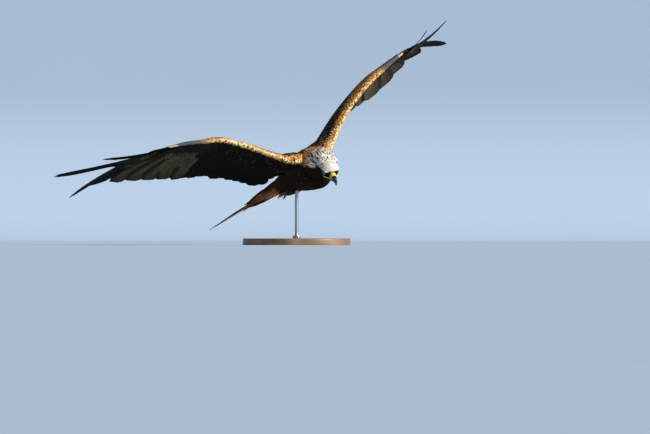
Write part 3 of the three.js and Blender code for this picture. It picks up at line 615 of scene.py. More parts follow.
# Flight feathers of a wing, innermost first; the covert rows lie along their shafts
wingFeathers = {
    "secondaries": {"count": 13, "first": 1.36, "last": 5.84, "rootAt": 0.58, "firstTip": 0, "lastTip": 0.985,
                    "firstBow": 2, "lastBow": 8, "sweep": 3, "lead": 15, "trail": 26, "roll": 4.6,
                    "shorter": [0, 0, 0, 0, 0, 0, 0, 5, 0, 13, 9, 0, 0]},
    "primaries": {"first": 6.07, "last": 8.7, "rootAt": 0.6, "stack": -0.5},
    # outline, bow, sweep, leading width, trailing width, roll
    "forms": [
        ("rounded", 9, 4, 17, 30, 4.6), ("rounded", 9, 6, 20, 42, 4.6), ("rounded", 9, 8, 20, 50, 4.6),
        ("rounded", 9, 10, 20, 54, 4.6), ("rounded", 10, 12, 18, 56, 4.6), ("broadFinger", 17, 14, 18, 47, 5),
        ("finger", 21, 15, 13, 38, 5), ("finger", -6, 14, 12, 34, 6), ("finger", -7, 12, 11, 32, 8),
        ("finger", -6, 8, 9, 26, 8),
    ],
    # from and to along the flight feather, lift over it, widths, group for the markings; the rows that are
    # lifted most are twice as dense
    "denseLift": 4,
    "armRows": [
        {"start": 0, "end": 0.5, "lift": 3.1, "lead": 13, "trail": 15, "group": 1},
        {"start": -0.16, "end": 0.28, "lift": 5.8, "lead": 12, "trail": 13, "group": 2},
        {"start": 0.02, "end": 0.46, "lift": -2.6, "lead": 13, "trail": 15, "group": 3},
        {"start": -0.12, "end": 0.26, "lift": -4.6, "lead": 12, "trail": 13, "group": 4},
    ],
    "handRows": [
        {"start": 0, "end": 0.36, "lift": 2.9, "lead": 9, "trail": 12, "group": 1},
        {"start": -0.1, "end": 0.2, "lift": 4.6, "lead": 8, "trail": 10, "group": 2},
        {"start": 0.02, "end": 0.32, "lift": -2.4, "lead": 9, "trail": 13, "group": 5},
        {"start": -0.1, "end": 0.18, "lift": -4, "lead": 8, "trail": 11, "group": 4},
    ],
    "thumb": {"first": 6.3, "step": 0.22, "rootAt": 0.22, "rootStep": 0.09, "reach": [92, 72, 52, 36],
              "bow": 1.5, "sweep": 2, "lead": 5, "trail": 12, "roll": 6},
}


def armShafts():
    form = wingFeathers["secondaries"]
    edge = np.array(wingForm["trailingEdge"], float)
    knots = lengthsAlong(edge)
    knots /= knots[-1]
    feathers = []
    for index in range(form["count"]):
        share = index / (form["count"] - 1)
        number = form["first"] + (form["last"] - form["first"]) * share
        normal = wingNormal(number)
        root = wingPoint(number, form["rootAt"], 0.5)
        tip = hermite(form["firstTip"] + (form["lastTip"] - form["firstTip"]) * share, knots, edge)
        tip = tip - unit(tip - root) * form["shorter"][index]
        bow = form["firstBow"] + (form["lastBow"] - form["firstBow"]) * share
        feathers.append({"shaft": shaftOf(root, tip, normal, bow, form["sweep"]), "normal": normal,
                         "number": number, "outline": "rounded", "lead": form["lead"],
                         "trail": form["trail"], "roll": form["roll"]})
    return feathers


def handShafts(side=1):
    form = wingFeathers["primaries"]
    feathers = []
    for index, (outline, bow, sweep, lead, trail, roll) in enumerate(wingFeathers["forms"]):
        number = form["first"] + (form["last"] - form["first"]) * index / 9
        normal = wingNormal(number)
        root = wingPoint(number, form["rootAt"], 0.5) + normal * form["stack"] * index
        tip = np.array(wingForm["primaryTips"][index], float)
        if side < 0:
            tip[2] += wingForm["leftLift"][index]
            roll += wingForm["leftRoll"][index]
        shaft = shaftOf(root, tip, normal, bow, sweep)
        feathers.append({"shaft": shaft, "normal": normal, "number": number, "outline": outline, "lead": lead,
                         "trail": trail, "roll": roll, "group": 1.0 + index / 10})
    return feathers


def covertOver(feather, row):
    start, end, lift = row["start"], row["end"], row["lift"]
    shaft, normal = feather["shaft"], feather["normal"]
    root = bezier(shaft, start) if start >= 0 else 2 * shaft[0] - bezier(shaft, -start)
    tip = bezier(shaft, end) + normal * lift
    bent = shaftOf(root + normal * lift * 0.75, tip, normal, 2.2 if lift > 0 else -1.2, 0)
    return {"shaft": bent, "normal": normal, "outline": "covert", "lead": row["lead"], "trail": row["trail"],
            "roll": feather["roll"], "group": row["group"]}


# Feathers between two neighbours, so that covert rows are denser than the flight feathers
def between(feathers):
    filled = []
    for one, two in zip(feathers, feathers[1:]):
        middle = dict(one)
        middle["shaft"] = (one["shaft"] + two["shaft"]) / 2
        middle["normal"] = unit(one["normal"] + two["normal"])
        filled += [one, middle]
    return filled + [feathers[-1]]


def makeWing(side, seed, paints):
    rng = np.random.default_rng(seed)
    arm, hand = armShafts(), handShafts(side)
    thumb = wingFeathers["thumb"]
    outward = unit(wingPoint(8, thumb["rootAt"], 0) - wingPoint(thumb["first"], thumb["rootAt"], 0))
    vanes = [(feather, 0) for feather in arm] + [(feather, 1) for feather in hand]
    for rows, feathers in ((wingFeathers["armRows"], arm), (wingFeathers["handRows"], hand)):
        for row in rows:
            dense = abs(row["lift"]) > wingFeathers["denseLift"]
            vanes += [(covertOver(feather, row), 2) for feather in (between(feathers) if dense else feathers)]
    for index, reach in enumerate(thumb["reach"]):
        number = thumb["first"] + thumb["step"] * index
        normal = wingNormal(number)
        root = wingPoint(number, thumb["rootAt"] + thumb["rootStep"] * index, 0.3)
        shaft = shaftOf(root, root + outward * reach + normal, normal, thumb["bow"], thumb["sweep"])
        vanes.append(({"shaft": shaft, "normal": normal, "outline": "covert", "lead": thumb["lead"],
                       "trail": thumb["trail"], "roll": thumb["roll"], "group": 1}, 2))
    sheaf = Sheaf()
    for (feather, paint), cell in zip(vanes, cells(len(vanes), 15)):
        addVane(sheaf, feather, rng, cell, paint)
    name = "right" if side > 0 else "left"
    return sheaf.build(f"wing_{name}_flight", paints,
                       (f"wing_{name}_arm", f"wing_{name}_hand"), mirrored=side < 0)


# Small coverts over the fleshy wing: rows from the leading edge back, above and then below
covertForm = {
    "spacing": 4.9, "length": 15, "half": 4.0, "jitter": 0.3, "lines": 20, "ends": (0.62, 0.6),
    "crowding": 1.45, "first": 0.35, "last": 9.0, "samples": 200, "taper": ([0, 5, 7, 9], [1, 1, 0.8, 0.5]),
    "sizes": (0.48, 0.77, 0.7), "mostFall": 8, "tipLift": 1.9, "sunk": 0.6,
}


def makeWingCoverts(side, seed, paint):
    rng = np.random.default_rng(seed)
    form = covertForm
    flight = armShafts() + handShafts(side)
    numbers = np.array([feather["number"] for feather in flight])
    shafts = np.array([bezierTangent(feather["shaft"], 0.15) for feather in flight])
    samples = np.linspace(form["first"], form["last"], form["samples"])
    small, growth, bend = form["sizes"]
    gathered = {key: [] for key in ("roots", "middles", "tips", "normals", "halves", "mark", "bake")}
    for below, end in zip((0.0, 1.0), form["ends"]):
        outward = 1 - 2 * below
        for line in range(form["lines"]):
            share = end * (line / (form["lines"] - 1)) ** form["crowding"]
            steps = lengthsAlong(wingPoint(samples, share, below))
            size = small + growth * (share / end) ** bend
            gap = form["spacing"] * size
            run = np.arange(gap * (0.5 if line % 2 else 1.0), steps[-1], gap)
            run = run + rng.uniform(-1, 1, len(run)) * gap * form["jitter"]
            number = np.interp(run, steps, samples)
            count = len(number)
            taper = np.interp(number, *form["taper"])
            spots = np.clip(share + rng.uniform(-0.012, 0.012, count), 0.0, 1)
            root = wingPoint(number, spots, below)
            ahead = wingPoint(number, np.clip(spots + 0.04, 0, 1), below) - root
            beside = wingPoint(np.clip(number + 0.05, 0, 9), spots, below) - root
            normal = unit(np.cross(ahead, beside)) * outward
            way = np.stack([np.interp(number, numbers, shafts[:, axis]) for axis in range(3)], -1)
            way = alongSurface(way + rng.normal(0, 0.07, way.shape), normal)
            length = form["length"] * size * taper * rng.uniform(0.78, 1.22, count)
            chord = np.linalg.norm(wingPoint(number, 1.0, 0.0) - wingPoint(number, 0.0, 0.0), axis=1)
            later = np.clip(spots + length * 0.9 / chord, 0, 0.98)
            landing = wingPoint(number, later, below)
            past = wingPoint(number, np.clip(later + 0.03, 0, 1), below) - landing
            lifted = unit(np.cross(past, beside)) * outward
            tip = root + way * length[:, None]
            fall = np.sum((landing - tip) * normal, axis=1, keepdims=True)
            most = form["mostFall"]
            tip = tip + normal * np.clip(fall, -most, most) + lifted * form["tipLift"]
            gathered["roots"].append(root - normal * form["sunk"])
            gathered["middles"].append((root + tip) / 2 + normal * (1.0 + 0.1 * np.clip(-fall, 0, most)))
            gathered["tips"].append(tip)
            gathered["normals"].append(unit(normal + lifted))
            gathered["halves"].append(form["half"] * size * taper * rng.uniform(0.9, 1.1, count))
            gathered["mark"].append(np.stack([np.full(count, spots.mean()), np.full(count, below),
                                              number / 9], -1))
            gathered["bake"].append(np.stack([0.02 + 0.96 * number / 9,
                                              0.5 - outward * (0.02 + 0.46 * spots / 0.7)], -1))
    leaves = {key: np.concatenate(values) for key, values in gathered.items()}
    count = len(leaves["roots"])
    leaves["kind"] = np.stack([rng.uniform(0, 1, count), rng.uniform(-1, 1, count), np.zeros(count)], -1)
    sheaf = Sheaf()
    addLeaves(sheaf, leaves, "round", rng)
    name = "right" if side > 0 else "left"
    return sheaf.build(f"wing_{name}_coverts", [paint], mirrored=side < 0)


# Tail: six feathers a side in a forked fan, with covert rows above and below
tailForm = {"count": 6, "rootIn": 2.2, "rootOut": 17, "rootBack": -30, "tipIn": (8, -244, 8.5),
            "tipOut": (67, -309, 9), "fork": 1.7, "middle": 2.5, "stack": -0.8, "sweep": 3, "lead": 17,
            "trail": 20, "outerLead": 8, "roll": 3, "covertRoots": (3, 14), "covertTips": (5, 22),
            "covertBow": 1.5}
tailCovertRows = [
    {"count": 6, "rootBack": -58, "back": -128, "height": 16, "tipHeight": 12, "fan": 12, "half": 9},
    {"count": 6, "rootBack": -96, "back": -172, "height": 11.5, "tipHeight": 9.5, "fan": 18, "half": 10},
    {"count": 6, "rootBack": -58, "back": -140, "height": -15, "tipHeight": -5, "fan": 12, "half": 9},
    {"count": 6, "rootBack": -96, "back": -186, "height": -8, "tipHeight": 3, "fan": 18, "half": 10},
]


def makeTail(paints):
    rng = np.random.default_rng(41)
    form = tailForm
    up = np.array([0, 0, 1.0])
    normal = tailPlace(up) - tailPlace(up * 0)
    tipIn, tipOut = np.array(form["tipIn"], float), np.array(form["tipOut"], float)
    vanes = []
    for side in (1, -1):
        flip = np.array([side, 1, 1])
        for index in range(form["count"]):
            share = index / (form["count"] - 1)
            tip = tipIn + (tipOut - tipIn) * share
            tip[1] = tipIn[1] + (tipOut[1] - tipIn[1]) * share ** form["fork"]
            level = form["stack"] * (index - form["middle"])
            across = form["rootIn"] + (form["rootOut"] - form["rootIn"]) * share
            root = np.array([across, form["rootBack"], level]) * flip
            tip = (tip + up * level) * flip
            outer = form["outerLead"] if index == form["count"] - 1 else form["lead"]
            shaft = shaftOf(root, tip, up, 0, side * form["sweep"])
            vanes.append(({"shaft": tailPlace(shaft), "normal": normal,
                           "outline": "pointed" if index > 2 else "rounded", "roll": side * form["roll"],
                           "lead": outer if side > 0 else form["trail"],
                           "trail": form["trail"] if side > 0 else outer, "group": 1.0 + share * 0.5}, 0))
        (rootIn, rootFan), (tipNear, tipFan) = form["covertRoots"], form["covertTips"]
        for row in tailCovertRows:
            for index in range(row["count"]):
                share = index / (row["count"] - 1)
                root = np.array([rootIn + rootFan * share, row["rootBack"], row["height"]]) * flip
                back = row["back"] + row["fan"] * share
                tip = np.array([tipNear + tipFan * share, back, row["tipHeight"]]) * flip
                shaft = shaftOf(root, tip, up, math.copysign(form["covertBow"], row["height"]), 0)
                vanes.append(({"shaft": tailPlace(shaft), "normal": normal, "outline": "covert", "roll": 0,
                               "lead": row["half"], "trail": row["half"],
                               "group": 2.0 if row["height"] > 0 else 3.0}, 1))
    sheaf = Sheaf()
    for (feather, paint), cell in zip(vanes, cells(len(vanes), 10)):
        addVane(sheaf, feather, rng, cell, paint)
    return sheaf.build("tail_feathers", paints, ("tail",))


# Body feathers, set on the skin: length, half width and spacing by place
coatForm = {
    "head": (7.5, 1.5, 1.75), "face": (3.6, 0.85, 1.15), "neck": (15, 2.1, 2.8), "breast": (19, 4.6, 4.9),
    "back": (23, 6.4, 5.8), "thigh": (13, 3.0, 3.2), "rump": (22, 4.6, 4.6), "shoulder": (20, 5.6, 5.4),
}
# Name, its places, outline, paint and columns of points
coatPieces = [
    ("head_feathers", ("head", "face"), "lance", "head_plumage", 3),
    ("neck_feathers", ("neck",), "lance", "neck_plumage", 3),
    ("breast_feathers", ("breast", "thigh"), "round", "body_plumage", 3),
    ("back_feathers", ("back", "shoulder", "rump"), "round", "body_plumage", 5),
]
scatterForm = {"tries": 90000, "halfWidth": 66, "tailEnd": -336, "nearHead": 40, "headShare": 6.0,
               "cell": 6.0}
billRoot = np.array([0, 19.0, -3.0])


def isHead(regions):
    return (regions == "head") | (regions == "face")


def regionsOf(points):
    inHead = toHead(points)
    x, y, z = points.T
    region = np.full(len(points), "breast", dtype=object)
    region[z > -20] = "back"
    region[(z > -30) & (np.abs(x) > 26)] = "shoulder"
    region[y < -178] = "rump"
    region[(z < -44) & (np.abs(x) > 17) & (y < -38) & (y > -122)] = "thigh"
    neckLine = y + 0.45 * (z + 48)
    region[(neckLine > 44) & (np.abs(x) < 60)] = "neck"
    headZone = (inHead[:, 1] > -36) & (np.linalg.norm(inHead * [1, 0.7, 1], axis=1) < 35)
    region[headZone] = "head"
    region[headZone & (np.linalg.norm(inHead - billRoot, axis=1) < 21)] = "face"
    region[(np.abs(x) > 62) | (y < -334) | (headZone & (inHead[:, 1] > 17.6))] = ""
    return region


# The way that the coat lies: back from the bill, down the neck in hackles, then to the tail
def lieOf(points, regions):
    inHead = toHead(points)
    x, y, z = points.T
    ways = np.zeros((len(points), 3))
    ways[:, 0] = 0.3 * np.sign(x) * (np.abs(x) > 30) * (y > -20)
    ways[:, 1] = -1
    away = unit(inHead - billRoot - np.array([0, 8, 0])) @ headTurn
    far = ease(np.linalg.norm(inHead, axis=1), 34, 62)[:, None]
    hackles = np.stack([0.1 * np.sign(x), np.full(len(points), -0.5), np.clip((z + 62) / 40, -0.7, 0.8)], -1)
    neck, head = regions == "neck", isHead(regions)
    ways[neck] = unit(away * (1 - far) + unit(hackles) * far)[neck]
    ways[head] = away[head]
    ways[regions == "thigh"] = np.array([0, -1, -0.12])
    return unit(ways)


def crowded(index, key, points, spacing, grid):
    for step in product((-1, 0, 1), repeat=3):
        for kept in grid.get((key[0] + step[0], key[1] + step[1], key[2] + step[2]), ()):
            away = points[index] - points[kept]
            if away @ away < (0.5 * (spacing[index] + spacing[kept])) ** 2:
                return True
    return False


# Points spread evenly over the skin, at a spacing that depends on the place
def spread(points, spacing, rng):
    grid, kept = {}, []
    keys = np.floor(points / scatterForm["cell"]).astype(int)
    for index in rng.permutation(len(points)):
        key = tuple(keys[index])
        if spacing[index] > 0 and not crowded(index, key, points, spacing, grid):
            grid.setdefault(key, []).append(index)
            kept.append(index)
    return np.array(kept)


# Where each feather lies on the bake map: head above, body below
def skinMap(points, regions):
    x, y, z = points.T
    around = np.arctan2(x, -(z + 40)) / (2 * np.pi) + 0.5
    body = np.stack([0.02 + 0.96 * around, 0.02 + 0.5 * (y + 265) / 350], -1)
    inHead = toHead(points)
    turn = np.arctan2(inHead[:, 0], -inHead[:, 2]) / (2 * np.pi) + 0.5
    head = np.stack([0.02 + 0.96 * turn, 0.56 + 0.42 * (inHead[:, 1] + 50) / 70], -1)
    return np.clip(np.where(isHead(regions)[:, None], head, body), 0.005, 0.995)


# Roots of the coat, with the outward direction and the place of each
def scatter(inBird, triangles, rng):
    form = scatterForm
    first, second, third = (inBird[triangles[:, index]] for index in range(3))
    crossed = np.cross(second - first, third - first)
    area = np.linalg.norm(crossed, axis=1) / 2
    chosen = (np.abs(first[:, 0]) < form["halfWidth"]) & (first[:, 1] > form["tailEnd"])
    near = np.linalg.norm(toHead(first), axis=1) < form["nearHead"]
    weight = area * chosen * np.where(near, form["headShare"], 1.0)
    picks = rng.choice(len(area), form["tries"], p=weight / weight.sum())
    one, two = rng.uniform(0, 1, (2, len(picks), 1))
    flip = one + two > 1
    one, two = np.where(flip, 1 - one, one), np.where(flip, 1 - two, two)
    points = first[picks] + one * (second - first)[picks] + two * (third - first)[picks]
    regions = regionsOf(points)
    spacing = np.array([coatForm[name][2] if name else 0 for name in regions], float)
    kept = spread(points, spacing, rng)
    return points[kept], unit(crossed[picks])[kept], regions[kept]


def makeCoat(skin, paints):
    rng = np.random.default_rng(7)
    mesh = skin.data
    inBird = birdPoints(mesh)
    mesh.calc_loop_triangles()
    triangles = np.zeros(len(mesh.loop_triangles) * 3, int)
    mesh.loop_triangles.foreach_get("vertices", triangles)
    triangles = triangles.reshape(-1, 3)
    tree = BVHTree.FromPolygons(inBird.tolist(), triangles.tolist())
    points, normals, regions = scatter(inBird, triangles, rng)
    ways = alongSurface(lieOf(points, regions) + rng.normal(0, 0.06, (len(points), 3)), normals)
    sizes = np.array([coatForm[name][:2] for name in regions], float)
    grown = np.where(regions == "head", 0.75 + 0.5 * ease(-toHead(points)[:, 1], -10, 40), 1.0)
    sizes = sizes * (grown * rng.uniform(0.85, 1.15, len(points)))[:, None]
    lift = np.where(isHead(regions), 0.5, np.where(regions == "neck", 1.3, 1.5))[:, None]
    leaves = {"roots": points - normals * 0.5, "halves": sizes[:, 1], "bake": skinMap(points, regions)}
    for key, share, rise in (("middles", 0.5, 0.75), ("tips", 1.0, 1.0)):
        there = points + ways * sizes[:, :1] * share
        nearest = [tree.find_nearest(Vector(spot))[:2] for spot in there]
        found = np.array([[*place, *out] for place, out in nearest])
        leaves[key] = found[:, :3] + found[:, 3:] * lift * rise
    leaves["normals"] = unit(normals + found[:, 3:])
    leaves["mark"], leaves["kind"] = coatMarks(points, regions, rng)
    for name, places, outline, paint, columns in coatPieces:
        where = np.isin(regions.astype(str), places)
        sheaf = Sheaf()
        addLeaves(sheaf, {key: values[where] for key, values in leaves.items()}, outline, rng, columns)
        sheaf.build(name, [paints[paint]])


# Bill: upper and lower halves and the bare yellow cere
billForm = {
    "upper": [(24, -2.3, 7.4, 7.8), (32, -2.9, 6.3, 7.1), (37, -4.7, 5.1, 6.5), (41, -7.9, 3.9, 5.2),
              (43.8, -12, 2.6, 3.6), (44.9, -16.4, 1.2, 1.7)],
    "lower": [(5, -11, 8.6, 6), (16, -10.6, 8.4, 5.6), (28, -10.2, 6.4, 4.2), (36, -10, 4.2, 2.6),
              (39, -10, 2.6, 1.4)],
    "cere": [(11, -2.2, 9.5, 9.6), (15, -2.2, 9.8, 9.9), (21, -2.2, 8.6, 9), (26.5, -2.3, 7.5, 7.9)],
    "mouth": -9.8, "gap": 0.35, "wave": 0.45, "nostril": (8.0, 21, -0.5), "nostrilSize": (3, 2.4, 1.5),
    "nostrilDepth": 1.7, "cereAxis": (0, 0, -2.2), "cereRim": 0.35, "sides": 40, "upperRows": 48, "rows": 40,
    # The yellow lip from the cere to under the eye: out, forward, below the mouth, width, height
    "gape": [(8.6, 22, 0.2, 0.9, 0.9), (10.6, 17, 0, 1.3, 1.3), (15.7, 10, -0.2, 1.5, 1.6),
             (20.2, 4, -0.5, 1.2, 1.3), (21.9, 0, -0.8, 0.5, 0.5)],
}


def makeBill(hornPaint, cerePaint):
    form, sides, rows = billForm, billForm["sides"], billForm["rows"]
    mouth = form["mouth"]
    upper = loftAlong(sideStations(form["upper"]), form["upperRows"], sides)
    cutting = ease(40.5 - upper[:, 1], 0, 1.5)
    edge = mouth - form["wave"] * np.sin(np.clip((upper[:, 1] - 26) / 12, 0, 1) * np.pi)
    upper[:, 2] = np.where(upper[:, 2] < edge, upper[:, 2] + (edge - upper[:, 2]) * cutting, upper[:, 2])
    lower = loftAlong(sideStations(form["lower"]), rows, sides)
    lower[:, 2] = np.minimum(lower[:, 2], mouth - form["gap"])
    cere = loftAlong(sideStations(form["cere"]), rows, sides)
    cere[:, 2] = np.maximum(cere[:, 2], mouth)
    rim = form["cereRim"] * np.sin(ease(cere[:, 1], 24, 26.5) * np.pi)
    cere += unit((cere - form["cereAxis"]) * [1, 0, 1]) * rim[:, None]
    mirrored = np.stack([np.abs(cere[:, 0]), cere[:, 1], cere[:, 2]], -1)
    hole = np.linalg.norm((mirrored - form["nostril"]) / form["nostrilSize"], axis=1)
    sunk = 1 - ease(hole, 0.55, 1.05)
    cere[:, 0] -= np.sign(cere[:, 0]) * sunk * form["nostrilDepth"]
    for half, points, count in (("upper", upper, form["upperRows"]), ("lower", lower, rows)):
        marks = np.stack([(points[:, 1] - 24) / 20, points[:, 2] / 20, points[:, 0] * 0], -1)
        makePiece(f"bill_{half}_horn", fromHead(points), ringFaces(count, sides), [hornPaint],
                  (f"bill_{half}",), {"mark": marks})
    makePiece("cere_skin", fromHead(cere), ringFaces(rows, sides), [cerePaint], ("cere",),
              {"mark": np.stack([sunk, sunk * 0, sunk * 0], -1)})
    for side, name in ((1, "right"), (-1, "left")):
        lip = loftAlong([((side * out, forward, mouth + high), wide, tall)
                         for out, forward, high, wide, tall in form["gape"]], 26, 14)
        makePiece(f"gape_{name}", fromHead(lip), ringFaces(26, 14), [cerePaint], (),
                  {"mark": np.zeros((len(lip), 3))})


# Eyes and lids; the gaze is sideways and a little forward
eyeForm = {
    "radius": 7.4, "at": (18.2, 1.5, 1.5), "gaze": (0.9, 0.42, 0.02), "openLong": 0.83, "openTall": 0.66,
    "rows": 40, "sides": 48, "cornea": 0.25, "corneaWide": 0.45, "upperLid": 0.12, "upperThick": 0.35,
    # Lid: from the rim of the opening, over the ball and down to the feathers
    "lidSteps": [-0.02, 0.0, 0.03, 0.08, 0.14, 0.26, 0.45, 0.75],
    "lidHeights": [0.02, 0.3, 0.62, 0.74, 0.6, 0.45, 0.7, -0.2], "lidSides": 56,
}


def eyeShell(side, radius, polar, turn):
    flip = np.array([side, 1, 1])
    gaze = unit(eyeForm["gaze"] * flip)
    along = unit(np.cross([0, 0, 1], gaze))
    shell = (gaze * (radius * np.cos(polar) * np.ones_like(turn))[..., None]
             + along * (radius * np.sin(polar) * np.cos(turn))[..., None]
             + np.cross(gaze, along) * (radius * np.sin(polar) * np.sin(turn))[..., None])
    return fromHead(shell.reshape(-1, 3) + eyeForm["at"] * flip)


def makeEyes(eyePaint, lidPaint):
    form, rows, sides = eyeForm, eyeForm["rows"], eyeForm["sides"]
    for side, name in ((1, "right"), (-1, "left")):
        polar = np.linspace(0.02, np.pi - 0.02, rows)[:, None]
        turn = np.linspace(0, 2 * np.pi, sides, endpoint=False)[None]
        bulge = form["cornea"] * np.exp(-(polar / form["corneaWide"]) ** 2)
        ball = eyeShell(side, form["radius"] - form["cornea"] + bulge, polar, turn)
        marks = np.stack(np.broadcast_arrays(polar / 1.57, turn / (2 * np.pi), 0.0), -1).reshape(-1, 3)
        makePiece(f"eyeball_{name}", ball, ringFaces(rows, sides), [eyePaint], (f"eye_{name}",),
                  {"mark": marks})
        turn = np.linspace(0, 2 * np.pi, form["lidSides"], endpoint=False)[None]
        upper = ease(np.sin(turn), -0.2, 0.8)
        opening = 1 / np.sqrt((np.cos(turn) / form["openLong"]) ** 2 + (np.sin(turn) / form["openTall"]) ** 2)
        polar = opening - form["upperLid"] * upper + np.array(form["lidSteps"])[:, None]
        height = np.array(form["lidHeights"])[:, None] * (1 + form["upperThick"] * upper)
        lid = eyeShell(side, form["radius"] + height, polar, turn)
        count = len(form["lidSteps"])
        marks = np.zeros((count, form["lidSides"], 3))
        marks[..., 0] = np.linspace(0, 1, count)[:, None]
        makePiece(f"lids_{name}", lid, ringFaces(count, form["lidSides"], False), [lidPaint], (),
                  {"mark": marks.reshape(-1, 3)})


# Feet folded back under the vent
footForm = {
    "at": (27, -127, -58.5), "spreads": (-6.8, 0, 6.8), "hindSpread": -4,
    "toe": [(0.1, 2, 0, 3.1), (0.6, -7, 0.3, 3.2), (1.05, -15, 0.6, 2.8), (1.1, -21, 0.4, 2.4)],
    "hind": [(0, 1, -3, 3), (0.3, -7, -7, 3), (0.4, -13, -9, 2.4)],
    "shank": [((27.5, -114, -58), 3.6, 3.6), ((27, -124, -58.5), 3.8, 3.8), ((27, -129, -59), 4.2, 3.6)],
    "claw": [(0.6, 0.1, 2), (-3.8, -0.2, 1.7), (-7.6, -1.8, 1.1), (-10, -5, 0.4)],
    "rows": 36, "sides": 20, "scutes": 9, "scuteDepth": 0.07, "clawRows": 24, "clawSides": 16,
}


def makeFeet(skinPaint, hornPaint):
    form, rows, sides = footForm, footForm["rows"], footForm["sides"]
    at = np.array(form["at"])
    toes = [[(share * spot, back, up, radius) for share, back, up, radius in form["toe"]]
            for spot in form["spreads"]]
    toes.append([(share * form["hindSpread"], back, up, radius) for share, back, up, radius in form["hind"]])
    paths = [form["shank"]] + [[(at + step[:3], step[3], step[3]) for step in toe] for toe in toes]
    along = np.linspace(0, 1, rows)
    scutes = 1 + form["scuteDepth"] * np.abs(np.sin(along * form["scutes"] * np.pi))[:, None, None]
    tubes = []
    for path in paths:
        tube = loftAlong(path, rows, sides).reshape(rows, sides, 3)
        middle = tube.mean(axis=1, keepdims=True)
        tubes.append(((middle + (tube - middle) * scutes).reshape(-1, 3), rows, sides))
    points, footFaces = joined(tubes)
    along = np.tile(np.repeat(along, sides), len(paths))
    marks = np.stack([along, along * 0, along * 0], -1)
    clawRings = ringFaces(form["clawRows"], form["clawSides"])
    for side, name in ((1, "right"), (-1, "left")):
        flip = np.array([side, 1, 1])
        faces = footFaces if side > 0 else [face[::-1] for face in footFaces]
        clawFaces = clawRings if side > 0 else [face[::-1] for face in clawRings]
        makePiece(f"foot_skin_{name}", points * flip, faces, [skinPaint], (f"foot_{name}",),
                  {"mark": marks})
        for index, toe in enumerate(toes):
            end = at + np.array(toe[-1][:3])
            path = [(end + [0, back, up], radius, radius) for back, up, radius in form["claw"]]
            claw = loftAlong(path, form["clawRows"], form["clawSides"])
            makePiece(f"claw_horn_{name}_{index + 1}", claw * flip, clawFaces, [hornPaint],
                      (f"claw_{name}_{index + 1}",), {"mark": np.full((len(claw), 3), 0.9)})


# Display stand in metres: a turned wooden disc and a steel rod with a collar
standForm = {
    "radius": 0.150, "height": 0.018, "chamfer": 0.003, "foot": 0.001, "top": (0.9, 0.7, 0.5, 0.3, 0.12),
    "discSides": 128, "stemSides": 64, "rod": 0.005, "rodFrom": 0.036, "rodTop": 0.190, "rodRows": 12,
    # Radius and height of the collar, from inside the disc up to the bare rod
    "collar": [(0.005, 0.007), (0.005, 0.0183), (0.0106, 0.0183), (0.011, 0.0187), (0.011, 0.025),
               (0.0107, 0.0257), (0.01, 0.026), (0.0062, 0.026), (0.0053, 0.0264), (0.005, 0.0272)],
}


def turned(profile, sides):
    turn = np.linspace(0, 2 * np.pi, sides, endpoint=False)
    points = [[(radius * math.cos(angle), radius * math.sin(angle), height) for angle in turn]
              for radius, height in profile]
    return np.array(points).reshape(-1, 3), ringFaces(len(profile), sides)


def makeStand(woodPaint, steelPaint):
    form = standForm
    radius, height, chamfer, foot = (form[key] for key in ("radius", "height", "chamfer", "foot"))
    profile = [(radius - foot, 0)]
    profile += [(radius - foot + foot * math.sin(angle), foot - foot * math.cos(angle))
                for angle in np.linspace(0.3, 1.57, 4)]
    profile += [(radius - chamfer + chamfer * math.cos(angle), height - chamfer + chamfer * math.sin(angle))
                for angle in np.linspace(0, 1.57, 9)]
    profile += [(radius * share, height) for share in form["top"]]
    points, faces = turned(profile, form["discSides"])
    makePiece("stand_disc", points, faces, [woodPaint], ("stand_base",), inRow=True)
    heights = np.linspace(form["rodFrom"], form["rodTop"], form["rodRows"])
    points, faces = turned(form["collar"] + [(form["rod"], spot) for spot in heights], form["stemSides"])
    makePiece("stand_stem", points, faces, [steelPaint], ("stand_rod",), inRow=True)


# Finishes, in linear colours
coatColors = {
    "white": (0.82, 0.76, 0.68), "cream": (0.80, 0.60, 0.38), "orange": (0.74, 0.27, 0.035),
    "black": (0.006, 0.005, 0.004), "brown": (0.020, 0.012, 0.008), "rust": (0.16, 0.060, 0.018),
    "fleck": (0.15, 0.12, 0.065),
}
fullTurn = 6.28


def paleCoat(paint, warmth):
    pale = paint.mixed(warmth.above(0, 0.4), coatColors["white"], coatColors["cream"])
    return paint.mixed(warmth.above(0.4, 1), pale, coatColors["orange"])


# Barbs and sheen of a small feather
def finishSmall(paint, base, along, side):
    grain = ((along * 14 - side * 5) * fullTurn).sine()
    return paint.finish({"Base Color": base, "Roughness": 0.66 + 0.1 * paint.noise(900.0),
                         "Specular IOR Level": 0.03, "Normal": paint.bump(grain, 0.12, 0.0002)})


def coatPaint(name):
    paint = Paint(name)
    along, across = paint.values("place", 2)
    edged, chance = paint.values("mark", 2)
    warmth, dark, streaked = paint.values("kind")
    side = abs(across)
    deep = paint.mixed(warmth, coatColors["black"], coatColors["brown"])
    # The darkness mark holds the back's own dark ground and the painted shade on the face, throat and breast
    base = paint.mixed(dark, paleCoat(paint, warmth), deep)
    edge = side.above(0.4, 0.95) + along.above(0.7, 0.98)
    rim = paint.mixed(warmth, coatColors["fleck"], coatColors["rust"])
    base = paint.mixed(edge * edged, base, rim)
    streak = (1 - (side - streaked * 0.35).above(0.0, 0.25)) * (1 - along.above(0.9, 1.0))
    base = paint.mixed(streak * streaked, base, coatColors["black"])
    speck = chance.above(0.92, 0.96) * along.above(0.55, 0.85) * (1 - side.above(0.1, 0.65)) * dark
    return finishSmall(paint, paint.mixed(speck * 0.6, base, coatColors["fleck"]), along, side)


